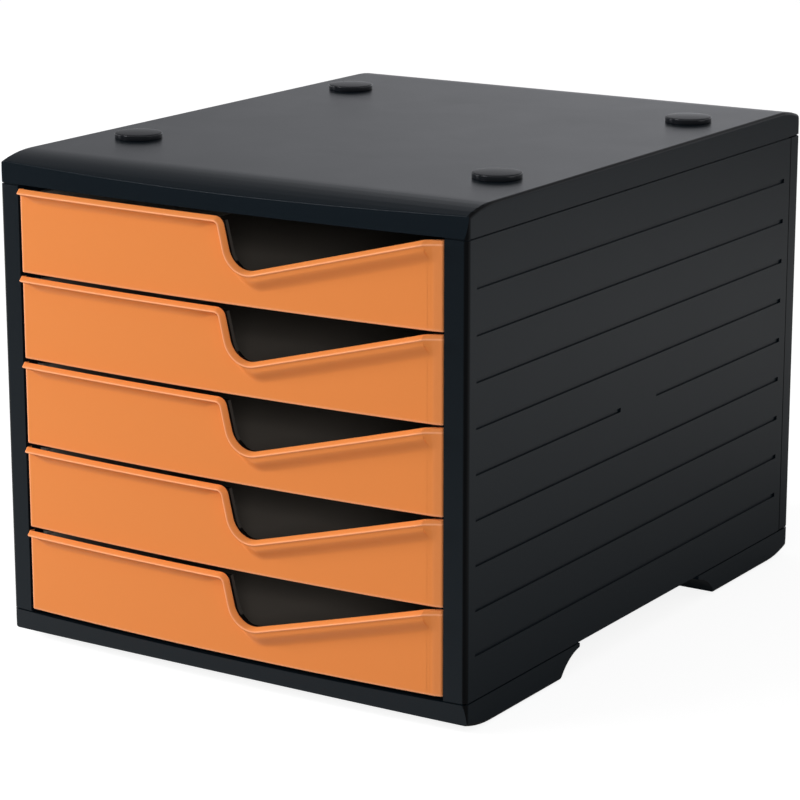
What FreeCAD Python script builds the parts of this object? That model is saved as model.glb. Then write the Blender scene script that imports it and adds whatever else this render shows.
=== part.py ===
"""Desktop file box with five sliding drawers.

The housing is a moulded cover, a moulded base with two foot bars, two ribbed side
panels and a back panel.  Each drawer is a tray that hangs by its rim flanges on the
ribs of the side panels, with a coloured front clipped to it.  The front of the whole
box is bowed in plan.  Drawer 1 is the top one.

Millimetres, +Z up, +Y to the rear.  X = 0 is the middle, Y = 0 is half way between the
foremost and rearmost points, and Z = 0 is the surface that the foot pads stand on.
"""

import FreeCAD, Part
import math
import os

import Sketcher

V = FreeCAD.Vector

# ---------------------------------------------------------------- driving sizes
SIZES = {
    # housing
    "housing_width": 275.0,
    "housing_depth": 348.4,      # front corners to rear face
    "front_bow": 5.4,            # how far the middle of the front stands before its corners
    "corner_radius": 2.8,        # upright corners
    "panel_height": 224.4,       # seam to seam
    "cover_height": 14.3,
    "base_height": 14.3,
    "profile_radius": 70.0,      # long arc in which cover and base fall away
    "profile_run": 23.7,         # how far in from an end that arc starts
    "front_rake": 2.0,           # lean of the cover's and the base's front face
    "rear_rake": 3.0,            # lean of their rear face
    "edge_radius": 1.8,          # long side edges of the cover and the base
    "skin": 2.6,                 # wall of the housing mouldings
    "band_wall": 5.0,            # cover's wall at its two ends
    "cover_rib_wall": 1.8,
    "cover_rib_drop": 3.5,
    "cover_beam_offset": 12.0,   # stacking cap to the beam behind or before it
    # side panels
    "post_width": 12.2,
    "post_wall": 3.0,
    "post_depth": 10.0,
    "post_return": 2.4,
    "rear_strip": 11.2,          # back panel's flange on the side of the box
    "seam_gap": 0.6,
    "seam_line": 0.8,            # height of the shadow line along the seams
    "seam_depth": 1.0,
    "tongue_wall": 1.6,
    "tongue_reach": 4.0,
    "tongue_gap": 0.2,
    "groove_height": 2.3,
    "groove_depth": 1.0,
    "groove_first": 22.3,        # lower seam to the first groove
    "groove_setback": 8.0,       # front corner to the grooves' front ends
    "groove_rear_setback": 7.0,  # rear seam to the grooves' rear ends
    "groove_break_start": 148.0,
    "groove_break": 38.0,
    "rail_wall": 2.4,
    "rail_gap": 0.3,             # above and below a flange
    "rail_side_gap": 1.2,        # rail to tray wall
    # feet
    "arch_radius": 28.0,         # rounded ends of the space between the foot bars
    "arch_inset": 113.5,         # end of the box to the centre of that rounding
    "arch_sink": 14.5,           # that centre below the floor
    "arch_shoulder": 109.5,      # end of the box to the upright part of the arch
    "foot_wall": 8.0,
    "foot_side_wall": 3.0,
    "foot_rib": 2.0,
    "arch_wall": 4.2,            # foot bar's pockets to the arch
    "pad_radius": 9.0,
    "pad_height": 3.0,
    "pad_proud": 1.0,
    "pad_side_inset": 26.0,
    "pad_end_inset": 26.0,
    "pad_boss_wall": 2.4,
    "pad_gap": 0.15,
    # stacking caps
    "cap_radius": 12.25,
    "cap_height": 3.2,
    "cap_dome_radius": 250.0,
    "cap_side_inset": 30.0,
    "cap_end_inset": 75.5,
    "stem_radius": 6.8,
    "stem_gap": 0.2,
    "barb_reach": 0.8,
    "barb_height": 1.2,
    # screws
    "screw_radius": 1.7,
    "screw_length": 13.0,
    "screw_head_radius": 3.6,
    "screw_head_height": 2.2,
    "screw_side_inset": 8.0,
    "screw_end_inset": 44.0,
    "screw_gap": 0.05,
    "screw_hole_gap": 0.2,
    "screw_boss_wall": 2.3,
    # drawers
    "drawer_lift": 2.1,          # lower seam to the lowest front
    "drawer_gap": 2.2,           # between two fronts
    "drawer_head_gap": 2.5,      # highest front to the upper seam
    "drawer_travel": 270.0,
    "front_side_gap": 1.3,
    "front_wall": 2.9,
    "front_tray_gap": 0.3,
    "lip_reach": 4.2,
    "lip_band": 3.4,
    "lip_end_inset": 4.0,
    "notch_top": 4.9,            # places of the finger cut-out's corners across the front
    "notch_foot": 11.4,
    "notch_end_inset": 8.1,
    "notch_height": 15.6,
    "notch_top_radius": 6.0,
    "notch_foot_radius": 12.0,
    "tray_lift": 1.7,            # bottom of the front to the bottom of the tray
    "tray_drop": 2.0,            # top of the front to the rim of the tray
    "tray_wall": 2.2,
    "tray_floor": 1.8,
    "tray_notch_drop": 1.8,      # tray's cut-out below the front's
    "flange_reach": 5.4,
    "flange_side_gap": 1.9,      # flange to post
    "flange_wall": 2.0,
    "stop_reach": 3.6,
    "stop_length": 12.0,
    "stop_gap": 0.5,
    "rear_stop_gap": 0.3,
    "rear_stop_reach": 9.3,
    "rear_stop_wall": 2.4,
    "rear_stop_inset": 70.0,
    "clip_width": 10.0,
    "clip_wall": 2.0,
    "clip_height": 9.0,
    "clip_gap": 0.3,
    "clip_hook": 1.2,
    "clip_outer_inset": 29.0,
    "clip_inner_inset": 89.0,
}
DRAWERS = 5
GROOVES = 9
BROKEN_GROOVE = 5
FOOT_BAYS = 8
FOOT_ROWS = 3
EPS = 1.0    # how far a cutter runs past the face that it opens

doc = FreeCAD.newDocument("file_box")
sheet = doc.addObject("Spreadsheet::Sheet", "dims")
for row, (alias, number) in enumerate(SIZES.items(), start=1):
    sheet.set(f"A{row}", alias)
    sheet.set(f"B{row}", str(number))
    sheet.setAlias(f"B{row}", alias)
doc.recompute()


class Size:
    """A length as FreeCAD's expression, with its present value beside it."""

    def __init__(self, text, value):
        self.text = text
        self.value = value

    @staticmethod
    def of(thing):
        return thing if isinstance(thing, Size) else Size(repr(float(thing)), float(thing))

    def __add__(self, other):
        other = Size.of(other)
        return Size(f"({self.text} + {other.text})", self.value + other.value)

    def __sub__(self, other):
        other = Size.of(other)
        return Size(f"({self.text} - {other.text})", self.value - other.value)

    def __mul__(self, other):
        other = Size.of(other)
        return Size(f"({self.text} * {other.text})", self.value * other.value)

    def __truediv__(self, other):
        other = Size.of(other)
        return Size(f"({self.text} / {other.text})", self.value / other.value)

    def __neg__(self):
        return Size(f"(-1 * {self.text})", -self.value)

    __radd__ = __add__
    __rmul__ = __mul__

    def __rsub__(self, other):
        return Size.of(other) - self

    def root(self):
        return Size(f"sqrt({self.text})", math.sqrt(self.value))


def size(alias):
    """One driving size of the sheet."""
    return Size(f"dims.{alias}", SIZES[alias])


# ---------------------------------------------------------------- places worked out
HALF = size("housing_width") / 2
FRONT = (size("front_bow") + size("lip_reach") - size("housing_depth")) / 2
REAR = FRONT + size("housing_depth")
BOTTOM = size("pad_proud")
LOW_SEAM = BOTTOM + size("base_height")
HIGH_SEAM = LOW_SEAM + size("panel_height")
TOP = HIGH_SEAM + size("cover_height")
BOW_RADIUS = (HALF * HALF + size("front_bow") * size("front_bow")) / (2 * size("front_bow"))
BOW_CENTRE = FRONT - size("front_bow") + BOW_RADIUS
FACE_BACK = BOW_RADIUS - size("front_wall")
TRAY_FACE = FACE_BACK - size("front_tray_gap")
POST_INNER = HALF - size("post_width")
FRONT_HALF = POST_INNER - size("front_side_gap")
TRAY_HALF = POST_INNER - size("flange_side_gap") - size("flange_reach")
TRAY_FRONT = FRONT + size("front_wall") + size("front_tray_gap")
TRAY_REAR = REAR - size("skin") - size("rear_stop_reach") - size("rear_stop_gap")
RAIL_INNER = TRAY_HALF + size("rail_side_gap")
SKIN_INNER = HALF - size("skin")
FRONT_STACK = size("panel_height") - size("drawer_lift") - size("drawer_head_gap")
FRONT_HEIGHT = (FRONT_STACK - size("drawer_gap") * (DRAWERS - 1)) / DRAWERS
PITCH = FRONT_HEIGHT + size("drawer_gap")
TRAY_HEIGHT = FRONT_HEIGHT - size("tray_lift") - size("tray_drop")
ARCH_DROP = size("arch_sink") + BOTTOM
ARCH_EDGE = size("arch_inset") - (size("arch_radius") * size("arch_radius") - ARCH_DROP * ARCH_DROP).root()
PANEL_REAR = REAR - size("rear_strip") - size("seam_gap")
SKIN_TOP = TOP - size("skin")


# ---------------------------------------------------------------- small makers
def bind(thing, name, length):
    """Ties one property of an object to a size."""
    thing.setExpression(name, Size.of(length).text)


def place(thing, x, y, z):
    for axis, length in zip("xyz", (x, y, z)):
        bind(thing, f"Placement.Base.{axis}", length)
    return thing


def box(name, x, y, z):
    """A block from three (low, high) pairs."""
    block = doc.addObject("Part::Box", name)
    for side, (low, high) in zip(("Length", "Width", "Height"), (x, y, z)):
        bind(block, side, Size.of(high) - low)
    return place(block, x[0], y[0], z[0])


def cylinder(name, radius, z, x=0.0, y=0.0):
    """An upright cylinder between two levels."""
    rod = doc.addObject("Part::Cylinder", name)
    bind(rod, "Radius", radius)
    bind(rod, "Height", Size.of(z[1]) - z[0])
    return place(rod, x, y, z[0])


def lying_cylinder(name, radius, y, z):
    """A cylinder along X, wider than the box."""
    rod = doc.addObject("Part::Cylinder", name)
    rod.Placement = FreeCAD.Placement(V(), FreeCAD.Rotation(V(0, 1, 0), 90))
    bind(rod, "Radius", radius)
    bind(rod, "Height", HALF * 2 + 2 * EPS)
    return place(rod, -HALF - EPS, y, z)


def fuse(name, *pieces):
    joined = doc.addObject("Part::MultiFuse", name)
    joined.Shapes = list(pieces)
    joined.Refine = True
    return joined


def common(name, first, second):
    kept = doc.addObject("Part::MultiCommon", name)
    kept.Shapes = [first, second]
    kept.Refine = True
    return kept


def cut(name, base, *tools):
    tool = tools[0]
    if len(tools) > 1:
        tool = doc.addObject("Part::Compound", f"{name}_tools")
        tool.Links = list(tools)
    rest = doc.addObject("Part::Cut", name)
    rest.Base = base
    rest.Tool = tool
    rest.Refine = True
    return rest


def bow(name, radius, z):
    """Everything behind a bowed front of this radius, between two levels."""
    return cylinder(name, radius, z, 0.0, BOW_CENTRE)


def bow_at(x, radius=BOW_RADIUS):
    """How far forward a bowed front reaches at this place across the box."""
    return BOW_CENTRE - (radius * radius - x * x).root()


def draw(body, role, points, arcs=None):
    """A closed outline in a sketch on one of the body's origin planes.

    points holds pairs of sizes; arcs gives the radius of the stretch that starts at a
    point, positive where it bulges to the right of the way from point to point.
    """
    arcs = arcs or {}
    sketch = body.newObject("Sketcher::SketchObject", f"{body.Name}_outline")
    plane = next(f for f in body.Origin.OriginFeatures if f.Role == role)
    sketch.AttachmentSupport = [(plane, "")]
    sketch.MapMode = "FlatFace"
    spots = [V(Size.of(u).value, Size.of(v).value, 0) for u, v in points]
    heads = []
    for i, start in enumerate(spots):
        end = spots[(i + 1) % len(spots)]
        if i in arcs:
            radius = arcs[i].value
            chord = end - start
            across = V(chord.y, -chord.x, 0).normalize()
            sagitta = abs(radius) - math.sqrt(radius ** 2 - (chord.Length / 2) ** 2)
            middle = (start + end) / 2 + across * math.copysign(sagitta, radius)
            tips = (start, end) if radius > 0 else (end, start)
            sketch.addGeometry(Part.Arc(tips[0], middle, tips[1]), False)
            heads.append(1 if radius > 0 else 2)
        else:
            sketch.addGeometry(Part.LineSegment(start, end), False)
            heads.append(1)
    for i, head in enumerate(heads):
        after = (i + 1) % len(heads)
        sketch.addConstraint(Sketcher.Constraint("Coincident", i, 3 - head, after, heads[after]))
    for i, (u, v) in enumerate(points):
        for kind, length in (("DistanceX", u), ("DistanceY", v)):
            rule = Sketcher.Constraint(kind, -1, 1, i, heads[i], Size.of(length).value)
            index = sketch.addConstraint(rule)
            bind(sketch, f"Constraints[{index}]", length)
    for i, radius in arcs.items():
        index = sketch.addConstraint(Sketcher.Constraint("Radius", i, abs(radius.value)))
        bind(sketch, f"Constraints[{index}]", radius if radius.value > 0 else -radius)
    return sketch


def pad(name, role, points, length, arcs=None, offset=0.0, both_ways=False):
    """A body with one outline padded along its plane's normal."""
    body = doc.addObject("PartDesign::Body", name)
    sketch = draw(body, role, points, arcs)
    bind(sketch, "AttachmentOffset.Base.z", offset)
    block = body.newObject("PartDesign::Pad", f"{name}_pad")
    block.Profile = sketch
    if both_ways:
        block.SideType = "Symmetric"
    bind(block, "Length", length)
    sketch.Visibility = False
    body.Tip = block
    doc.recompute()
    return body


def round_edges(body, name, radius, wanted):
    """Fillets those edges of the body's last feature that the test picks."""
    base = body.Tip
    edges = [f"Edge{i}" for i, edge in enumerate(base.Shape.Edges, start=1) if wanted(edge)]
    fillet = body.newObject("PartDesign::Fillet", name)
    fillet.Base = (base, edges)
    bind(fillet, "Radius", radius)
    body.Tip = fillet
    doc.recompute()


def mirrored(side, inner, outer):
    """The (low, high) pair across the box of what lies between two distances from its middle."""
    return (inner, outer) if side == "right" else (-outer, -inner)


def finish(label, piece):
    """Names a sub-part."""
    piece.Label = label
    SUB_PARTS.append(piece)


SUB_PARTS = []
SIDES = {"left": -1, "right": 1}
CORNERS = [(end, side) for end in ("front", "rear") for side in SIDES]


def corner_place(end, side, side_inset, end_inset):
    """The place of something set in from a corner of the box."""
    x = (HALF - side_inset) * SIDES[side]
    y = FRONT + end_inset if end == "front" else REAR - end_inset
    return x, y


# ---------------------------------------------------------------- outer form
def housing_plan(name, inset):
    """The whole box seen from above: bowed front, rounded upright corners."""
    r = size("corner_radius") - inset
    half = HALF - inset
    shoulder = half - r
    bowed = BOW_RADIUS - inset
    ahead = bow_at(shoulder, bowed)
    rear = REAR - inset
    points = [
        (-half, rear - r), (-half, ahead + r), (-shoulder, ahead), (shoulder, ahead),
        (half, ahead + r), (half, rear - r), (shoulder, rear), (-shoulder, rear),
    ]
    arcs = {1: r, 2: bowed, 3: r, 5: r, 7: r}
    return pad(name, "XY_Plane", points, TOP + 2 * EPS, arcs)


def end_profile(name, seam, face, up):
    """Side view of the cover (up = 1) or the base (up = -1): long arcs at both ends."""
    radius = size("profile_radius")
    run = size("profile_run")
    ahead = size("front_bow") + EPS
    depth = (radius * radius - (run + ahead) * (run + ahead)).root() - radius
    behind = run - size("rear_rake")
    rear_depth = (radius * radius - behind * behind).root() - radius
    points = [
        (FRONT - ahead, seam), (FRONT - ahead, face + depth * up), (FRONT + run, face),
        (REAR - run, face), (REAR - size("rear_rake"), face + rear_depth * up), (REAR, seam),
    ]
    arcs = {1: radius * -up, 3: radius * -up}
    blank = pad(name, "YZ_Plane", points, HALF * 2, arcs, both_ways=True)
    side_face = HALF.value - 1e-3

    def long_edge(edge):
        ends = [v.Point for v in edge.Vertexes]
        return all(abs(p.x) > side_face and abs(p.z - seam.value) > EPS for p in ends)

    round_edges(blank, f"{name}_edges", size("edge_radius"), long_edge)
    return blank


def raked(name, blank, plan, low, high, low_lean, high_lean):
    """The end profile cut to the plan, with a front face that leans back."""
    cone = doc.addObject("Part::Cone", f"{name}_lean")
    bind(cone, "Radius1", BOW_RADIUS - low_lean)
    bind(cone, "Radius2", BOW_RADIUS - high_lean)
    bind(cone, "Height", high - low)
    place(cone, 0.0, BOW_CENTRE, low)
    return common(name, common(f"{name}_plan", blank, plan), cone)


# ---------------------------------------------------------------- housing
def stem_hole(end, side, name, gap):
    x, y = corner_place(end, side, size("cap_side_inset"), size("cap_end_inset"))
    return cylinder(name, size("stem_radius") + gap, (SKIN_TOP - EPS, TOP + EPS), x, y)


def top_cover(plan):
    blank = end_profile("cover_blank", HIGH_SEAM, TOP, 1)
    shell = raked("cover_shell", blank, plan, HIGH_SEAM, TOP, 0.0, size("front_rake"))
    wall = size("band_wall")
    low = HIGH_SEAM - EPS
    inside = (-SKIN_INNER, SKIN_INNER)
    run = size("profile_run")
    deep = box("cover_deep", inside, (FRONT + run, REAR - run), (low, SKIN_TOP))
    shallow_top = SKIN_TOP - size("skin")
    shallow = box("cover_shallow", inside, (FRONT + wall, REAR - wall), (low, shallow_top))
    holes = [stem_hole(e, s, f"cap_hole_{e}_{s}", size("stem_gap")) for e, s in CORNERS]
    opened = cut("cover_open", shell, deep, shallow, *holes)
    ribs = []
    levels = (SKIN_TOP - size("cover_rib_drop"), SKIN_TOP + size("skin") / 2)
    half_rib = size("cover_rib_wall") / 2
    beam_inset = size("cap_end_inset") + size("cover_beam_offset")
    beams = (FRONT + beam_inset, (FRONT + REAR) / 2, REAR - beam_inset)
    for i, (x, y) in enumerate(zip((-HALF / 2, Size.of(0), HALF / 2), beams)):
        ribs.append(box(f"cover_rib_{i}", (x - half_rib, x + half_rib),
                        (FRONT + run, REAR - run), levels))
        ribs.append(box(f"cover_beam_{i}", inside, (y - half_rib, y + half_rib), levels))
    finish("top_cover", fuse("cover", opened, *ribs))


def arch_cutters(end):
    """The space that one foot bar leaves, up to its rounded shoulder."""
    ahead = end == "front"

    def at(inset):
        return FRONT + inset if ahead else REAR - inset

    middle = (FRONT + REAR) / 2
    shoulder = at(size("arch_shoulder"))
    span = (shoulder, middle) if ahead else (middle, shoulder)
    levels = (BOTTOM - EPS, LOW_SEAM + EPS)
    gap = box(f"arch_{end}", (-HALF - EPS, HALF + EPS), span, levels)
    rounding = lying_cylinder(f"arch_round_{end}", size("arch_radius"),
                              at(size("arch_inset")), -size("arch_sink"))
    return [gap, rounding]


def bays(low, high, count):
    """The (low, high) pairs of equal bays with a rib's thickness between them."""
    rib = size("foot_rib")
    width = (high - low - rib * (count - 1)) / count
    return [(low + (width + rib) * i, low + (width + rib) * i + width) for i in range(count)]


def foot_pockets(end):
    """Hollows under a foot bar, between its ribs."""
    ahead = end == "front"
    reach = ARCH_EDGE - size("arch_wall") - size("foot_wall")
    near = FRONT + size("foot_wall") if ahead else REAR - size("foot_wall") - reach
    inner = HALF - size("foot_side_wall")
    levels = (BOTTOM - EPS, LOW_SEAM - size("skin"))
    pockets = []
    for i, across in enumerate(bays(-inner, inner, FOOT_BAYS)):
        for j, along in enumerate(bays(near, near + reach, FOOT_ROWS)):
            pockets.append(box(f"pocket_{end}_{i}_{j}", across, along, levels))
    return pockets


def base_frame(plan):
    blank = end_profile("base_blank", LOW_SEAM, BOTTOM, -1)
    shell = raked("base_shell", blank, plan, BOTTOM, LOW_SEAM, size("front_rake"), 0.0)
    cutters = []
    for end in ("front", "rear"):
        cutters += arch_cutters(end)
        cutters += foot_pockets(end)
    opened = cut("base_open", shell, *cutters)
    bosses, holes = [], []
    for end, side in CORNERS:
        x, y = corner_place(end, side, size("pad_side_inset"), size("pad_end_inset"))
        seat = size("pad_height")
        boss = size("pad_radius") + size("pad_boss_wall")
        bosses.append(cylinder(f"pad_boss_{end}_{side}", boss, (BOTTOM, LOW_SEAM - size("skin") / 2), x, y))
        holes.append(cylinder(f"pad_seat_{end}_{side}", size("pad_radius") + size("pad_gap"),
                              (BOTTOM - EPS, seat), x, y))
        x, y = corner_place(end, side, size("screw_side_inset"), size("screw_end_inset"))
        holes.append(cylinder(f"screw_hole_{end}_{side}", size("screw_radius") + size("screw_hole_gap"),
                              (BOTTOM, LOW_SEAM + EPS), x, y))
    width = SKIN_INNER - size("tongue_gap") * 2 - size("tongue_wall")
    deck_span = (FRONT + size("post_depth") + size("seam_gap"), PANEL_REAR - size("seam_gap"))
    deck_levels = (LOW_SEAM - size("skin") / 2, LOW_SEAM + size("skin"))
    deck = box("base_deck", (-width, width), deck_span, deck_levels)
    sunk = box("deck_underside", (-HALF, HALF),
               (FRONT + size("arch_shoulder"), REAR - size("arch_shoulder")),
               (BOTTOM, LOW_SEAM))
    whole = fuse("base_whole", opened, *bosses, deck)
    bores = []
    for end, side in CORNERS:
        x, y = corner_place(end, side, size("screw_side_inset"), size("screw_end_inset"))
        bores.append(cylinder(f"boss_room_{end}_{side}",
                              size("screw_radius") + size("screw_boss_wall") + size("clip_gap"),
                              (LOW_SEAM, LOW_SEAM + size("skin") + EPS), x, y))
    finish("base_frame", cut("base", whole, sunk, *holes, *bores))


def drawer_bottom(number):
    """Level of the lower edge of a drawer's front."""
    return LOW_SEAM + size("drawer_lift") + PITCH * (DRAWERS - number)


def flange_levels(number):
    top = drawer_bottom(number) + size("tray_lift") + TRAY_HEIGHT
    return top - size("flange_wall"), top


def seamed(name, walls, plan, inner_plan):
    """Upright walls cut to the plan, stepped in along the seams above and below."""
    line = size("seam_line")
    band = box(f"{name}_band", (-HALF - EPS, HALF + EPS),
               (FRONT - size("front_bow") - EPS, REAR + EPS), (LOW_SEAM + line, HIGH_SEAM - line))
    proud = common(f"{name}_proud", common(f"{name}_plan", walls, plan), band)
    return fuse(name, proud, common(f"{name}_core", walls, inner_plan))


def side_panel(side, plan, inner_plan):
    levels = (LOW_SEAM, HIGH_SEAM)
    ahead = (FRONT - size("front_bow"), FRONT + size("post_wall"))
    skin_span = (FRONT - size("front_bow"), PANEL_REAR)
    skin = box(f"skin_{side}", mirrored(side, SKIN_INNER, HALF), skin_span, levels)
    face = box(f"post_{side}", mirrored(side, POST_INNER, HALF), ahead, levels)
    back_span = (FRONT - size("front_bow"), FRONT + size("post_depth"))
    back = box(f"return_{side}", mirrored(side, POST_INNER, POST_INNER + size("post_return")),
               back_span, levels)
    walls = fuse(f"panel_walls_{side}", skin, face, back)
    outer = seamed(f"panel_form_{side}", walls, plan, inner_plan)
    tongue_out = SKIN_INNER - size("tongue_gap")
    tongue_in = tongue_out - size("tongue_wall")
    tongue_span = (FRONT + size("band_wall") + size("tongue_gap") * 2, PANEL_REAR)
    reach = size("tongue_reach")
    parts = [
        outer,
        box(f"tongue_root_{side}", mirrored(side, tongue_in, SKIN_INNER + size("tongue_wall") / 2),
            tongue_span, (LOW_SEAM + size("skin") + reach, HIGH_SEAM - reach)),
        box(f"tongue_{side}", mirrored(side, tongue_in, tongue_out), tongue_span,
            (LOW_SEAM + size("skin") + reach, HIGH_SEAM + reach)),
        box(f"rear_tongue_{side}", mirrored(side, tongue_in, tongue_out),
            (PANEL_REAR - reach, PANEL_REAR + reach), (LOW_SEAM + reach, HIGH_SEAM - reach)),
    ]
    rail_span = (FRONT + size("post_depth") - size("post_return"), PANEL_REAR)
    for number in range(1, DRAWERS + 1):
        low, high = flange_levels(number)
        across = mirrored(side, RAIL_INNER, SKIN_INNER + size("tongue_wall") / 2)
        under = (low - size("rail_gap") - size("rail_wall"), low - size("rail_gap"))
        over = (high + size("rail_gap"), high + size("rail_gap") + size("rail_wall"))
        parts.append(box(f"rail_{side}_{number}", across, rail_span, under))
        parts.append(box(f"guard_{side}_{number}", across, rail_span, over))
    cutters = []
    for end in ("front", "rear"):
        x, y = corner_place(end, side, size("screw_side_inset"), size("screw_end_inset"))
        tall = LOW_SEAM + size("screw_length") + EPS
        parts.append(cylinder(f"screw_boss_{end}_{side}", size("screw_radius") + size("screw_boss_wall"),
                              (LOW_SEAM, tall), x, y))
        web = mirrored(side, HALF - size("screw_side_inset"), SKIN_INNER + size("tongue_wall") / 2)
        parts.append(box(f"screw_web_{end}_{side}", web,
                         (y - size("post_return") / 2, y + size("post_return") / 2), (LOW_SEAM, tall)))
        cutters.append(cylinder(f"pilot_{end}_{side}", size("screw_radius") + size("screw_gap"),
                                (LOW_SEAM - EPS, tall - EPS / 2), x, y))
    start = FRONT + size("groove_setback")
    stop = PANEL_REAR - size("groove_rear_setback")
    pause = FRONT + size("groove_break_start")
    for i in range(GROOVES):
        low = LOW_SEAM + size("groove_first") + PITCH / 2 * i
        spans = [(start, stop)]
        if i + 1 == BROKEN_GROOVE:
            spans = [(start, pause), (pause + size("groove_break"), stop)]
        for j, span in enumerate(spans):
            cutters.append(box(f"groove_{side}_{i}_{j}",
                               mirrored(side, HALF - size("groove_depth"), HALF + EPS),
                               span, (low, low + size("groove_height"))))
    finish(f"side_panel_{side}", cut(f"panel_{side}", fuse(f"panel_ribs_{side}", *parts), *cutters))


def back_panel(plan, inner_plan):
    levels = (LOW_SEAM, HIGH_SEAM)
    wall = box("back_wall", (-HALF, HALF), (REAR - size("skin"), REAR), levels)
    flanges = [
        box(f"back_flange_{side}", mirrored(side, SKIN_INNER, HALF),
            (REAR - size("rear_strip"), REAR), levels)
        for side in SIDES
    ]
    outer = seamed("back_form", fuse("back_walls", wall, *flanges), plan, inner_plan)
    bumpers = []
    half = size("rear_stop_wall") / 2
    for side, sign in SIDES.items():
        x = (HALF - size("rear_stop_inset")) * sign
        bumpers.append(box(f"bumper_{side}", (x - half, x + half),
                           (TRAY_REAR + size("rear_stop_gap"), REAR - size("skin") / 2),
                           (LOW_SEAM + size("skin") + size("seam_gap"), HIGH_SEAM)))
    finish("back_panel", fuse("back", outer, *bumpers))


def stacking_cap(end, side):
    """A domed disc with a stem that snaps into the cover."""
    x, y = corner_place(end, side, size("cap_side_inset"), size("cap_end_inset"))
    name = f"{end}_{side}"
    crown = TOP + size("cap_height")
    disc = cylinder(f"cap_disc_{name}", size("cap_radius"), (TOP, crown), x, y)
    dome = doc.addObject("Part::Sphere", f"cap_dome_{name}")
    bind(dome, "Radius", size("cap_dome_radius"))
    place(dome, x, y, crown - size("cap_dome_radius"))
    stem_low = SKIN_TOP - size("stem_gap") - size("barb_height")
    stem = cylinder(f"cap_stem_{name}", size("stem_radius"), (stem_low, TOP + size("barb_height")), x, y)
    barb = cylinder(f"cap_barb_{name}", size("stem_radius") + size("barb_reach"),
                    (stem_low, stem_low + size("barb_height")), x, y)
    whole = fuse(f"cap_{name}", common(f"cap_head_{name}", disc, dome), stem, barb)
    finish(f"stacking_cap_{name}", whole)


def foot_pad(end, side):
    x, y = corner_place(end, side, size("pad_side_inset"), size("pad_end_inset"))
    rubber = cylinder(f"pad_{end}_{side}", size("pad_radius"), (Size.of(0), size("pad_height")), x, y)
    finish(f"foot_pad_{end}_{side}", rubber)


def base_screws():
    """Four screws that hold the base to the side panels."""
    under = LOW_SEAM - size("skin")
    screws = []
    for end, side in CORNERS:
        x, y = corner_place(end, side, size("screw_side_inset"), size("screw_end_inset"))
        head = cylinder(f"screw_head_{end}_{side}", size("screw_head_radius"),
                        (under - size("screw_head_height"), under), x, y)
        shank = cylinder(f"screw_shank_{end}_{side}", size("screw_radius"),
                         (under - EPS, under + size("screw_length")), x, y)
        screws.append(fuse(f"screw_{end}_{side}", head, shank))
    group = doc.addObject("Part::Compound", "screws")
    group.Links = screws
    finish("base_screws", group)


# ---------------------------------------------------------------- drawers
def at_corner(u, v):
    """Picks the edges that run front to rear through one point of an outline."""
    def wanted(edge):
        ends = [p.Point for p in edge.Vertexes]
        return len(ends) == 2 and all(abs(p.x - u.value) < 1e-3 and abs(p.z - v.value) < 1e-3 for p in ends)
    return wanted


def notch_points(bottom, height, back, drop):
    """Upper edge of a front from left to right, set back and down round the finger cut-out."""
    foot = bottom + size("notch_height") - drop
    return [
        (size("notch_top") - back, bottom + height),
        (size("notch_foot") - back, foot),
        (FRONT_HALF - size("notch_end_inset"), bottom + height),
    ]


def clip_spots(number):
    level = drawer_bottom(number) + size("clip_height")
    for side, sign in SIDES.items():
        for name in ("outer", "inner"):
            x = (FRONT_HALF - size(f"clip_{name}_inset")) * sign
            yield f"{name}_{side}_{number}", x, level


def drawer_front(number):
    bottom = drawer_bottom(number)
    half = FRONT_HALF
    height = FRONT_HEIGHT
    top = bottom + height
    reach = size("front_bow") + size("lip_reach") + 2 * EPS
    depth = reach + size("front_bow") + size("front_wall") + EPS
    shift = FRONT * -1 - depth + reach
    edge = notch_points(bottom, height, 0, 0)
    points = [(-half, bottom), (half, bottom), (half, top), *reversed(edge), (-half, top)]
    sheet_form = pad(f"front_form_{number}", "XZ_Plane", points, depth, offset=shift)
    round_edges(sheet_form, f"front_shoulder_{number}", size("notch_top_radius"), at_corner(*edge[0]))
    round_edges(sheet_form, f"front_foot_{number}", size("notch_foot_radius"), at_corner(*edge[1]))
    band = size("lip_band")
    right = half - size("lip_end_inset")
    under = notch_points(bottom, height - band, band, band)
    lip_points = [(-half, top - band), *under, (right, top - band), (right, top),
                  *reversed(edge), (-half, top)]
    lip_form = pad(f"lip_form_{number}", "XZ_Plane", lip_points, depth, offset=shift)
    round_edges(lip_form, f"lip_shoulder_{number}", size("notch_top_radius"), at_corner(*edge[0]))
    round_edges(lip_form, f"lip_foot_{number}", size("notch_foot_radius"), at_corner(*edge[1]))
    round_edges(lip_form, f"lip_under_{number}", size("notch_foot_radius") + band, at_corner(*under[1]))
    levels = (bottom - EPS, top + EPS)
    back = bow(f"face_back_{number}", FACE_BACK, levels)
    face = cut(f"face_{number}", common(f"face_form_{number}", sheet_form,
               bow(f"face_front_{number}", BOW_RADIUS, levels)), back)
    lip = cut(f"lip_{number}", common(f"lip_face_{number}", lip_form,
              bow(f"lip_front_{number}", BOW_RADIUS + size("lip_reach"), levels)), back)
    clips = []
    for name, x, level in clip_spots(number):
        wide = size("clip_width") / 2
        start = bow_at(x) + size("front_wall") / 2
        far = bow_at(x, TRAY_FACE - size("tray_wall")) + size("clip_gap")
        tip = far + size("clip_wall")
        tab = box(f"tab_{name}", (x - wide, x + wide), (start, tip), (level, level + size("clip_wall")))
        hook = box(f"hook_{name}", (x - wide, x + wide), (far + size("clip_gap"), tip),
                   (level, level + size("clip_wall") + size("clip_hook")))
        clips += [tab, hook]
    finish(f"drawer_front_{number}", fuse(f"front_{number}", face, lip, *clips))


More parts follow.
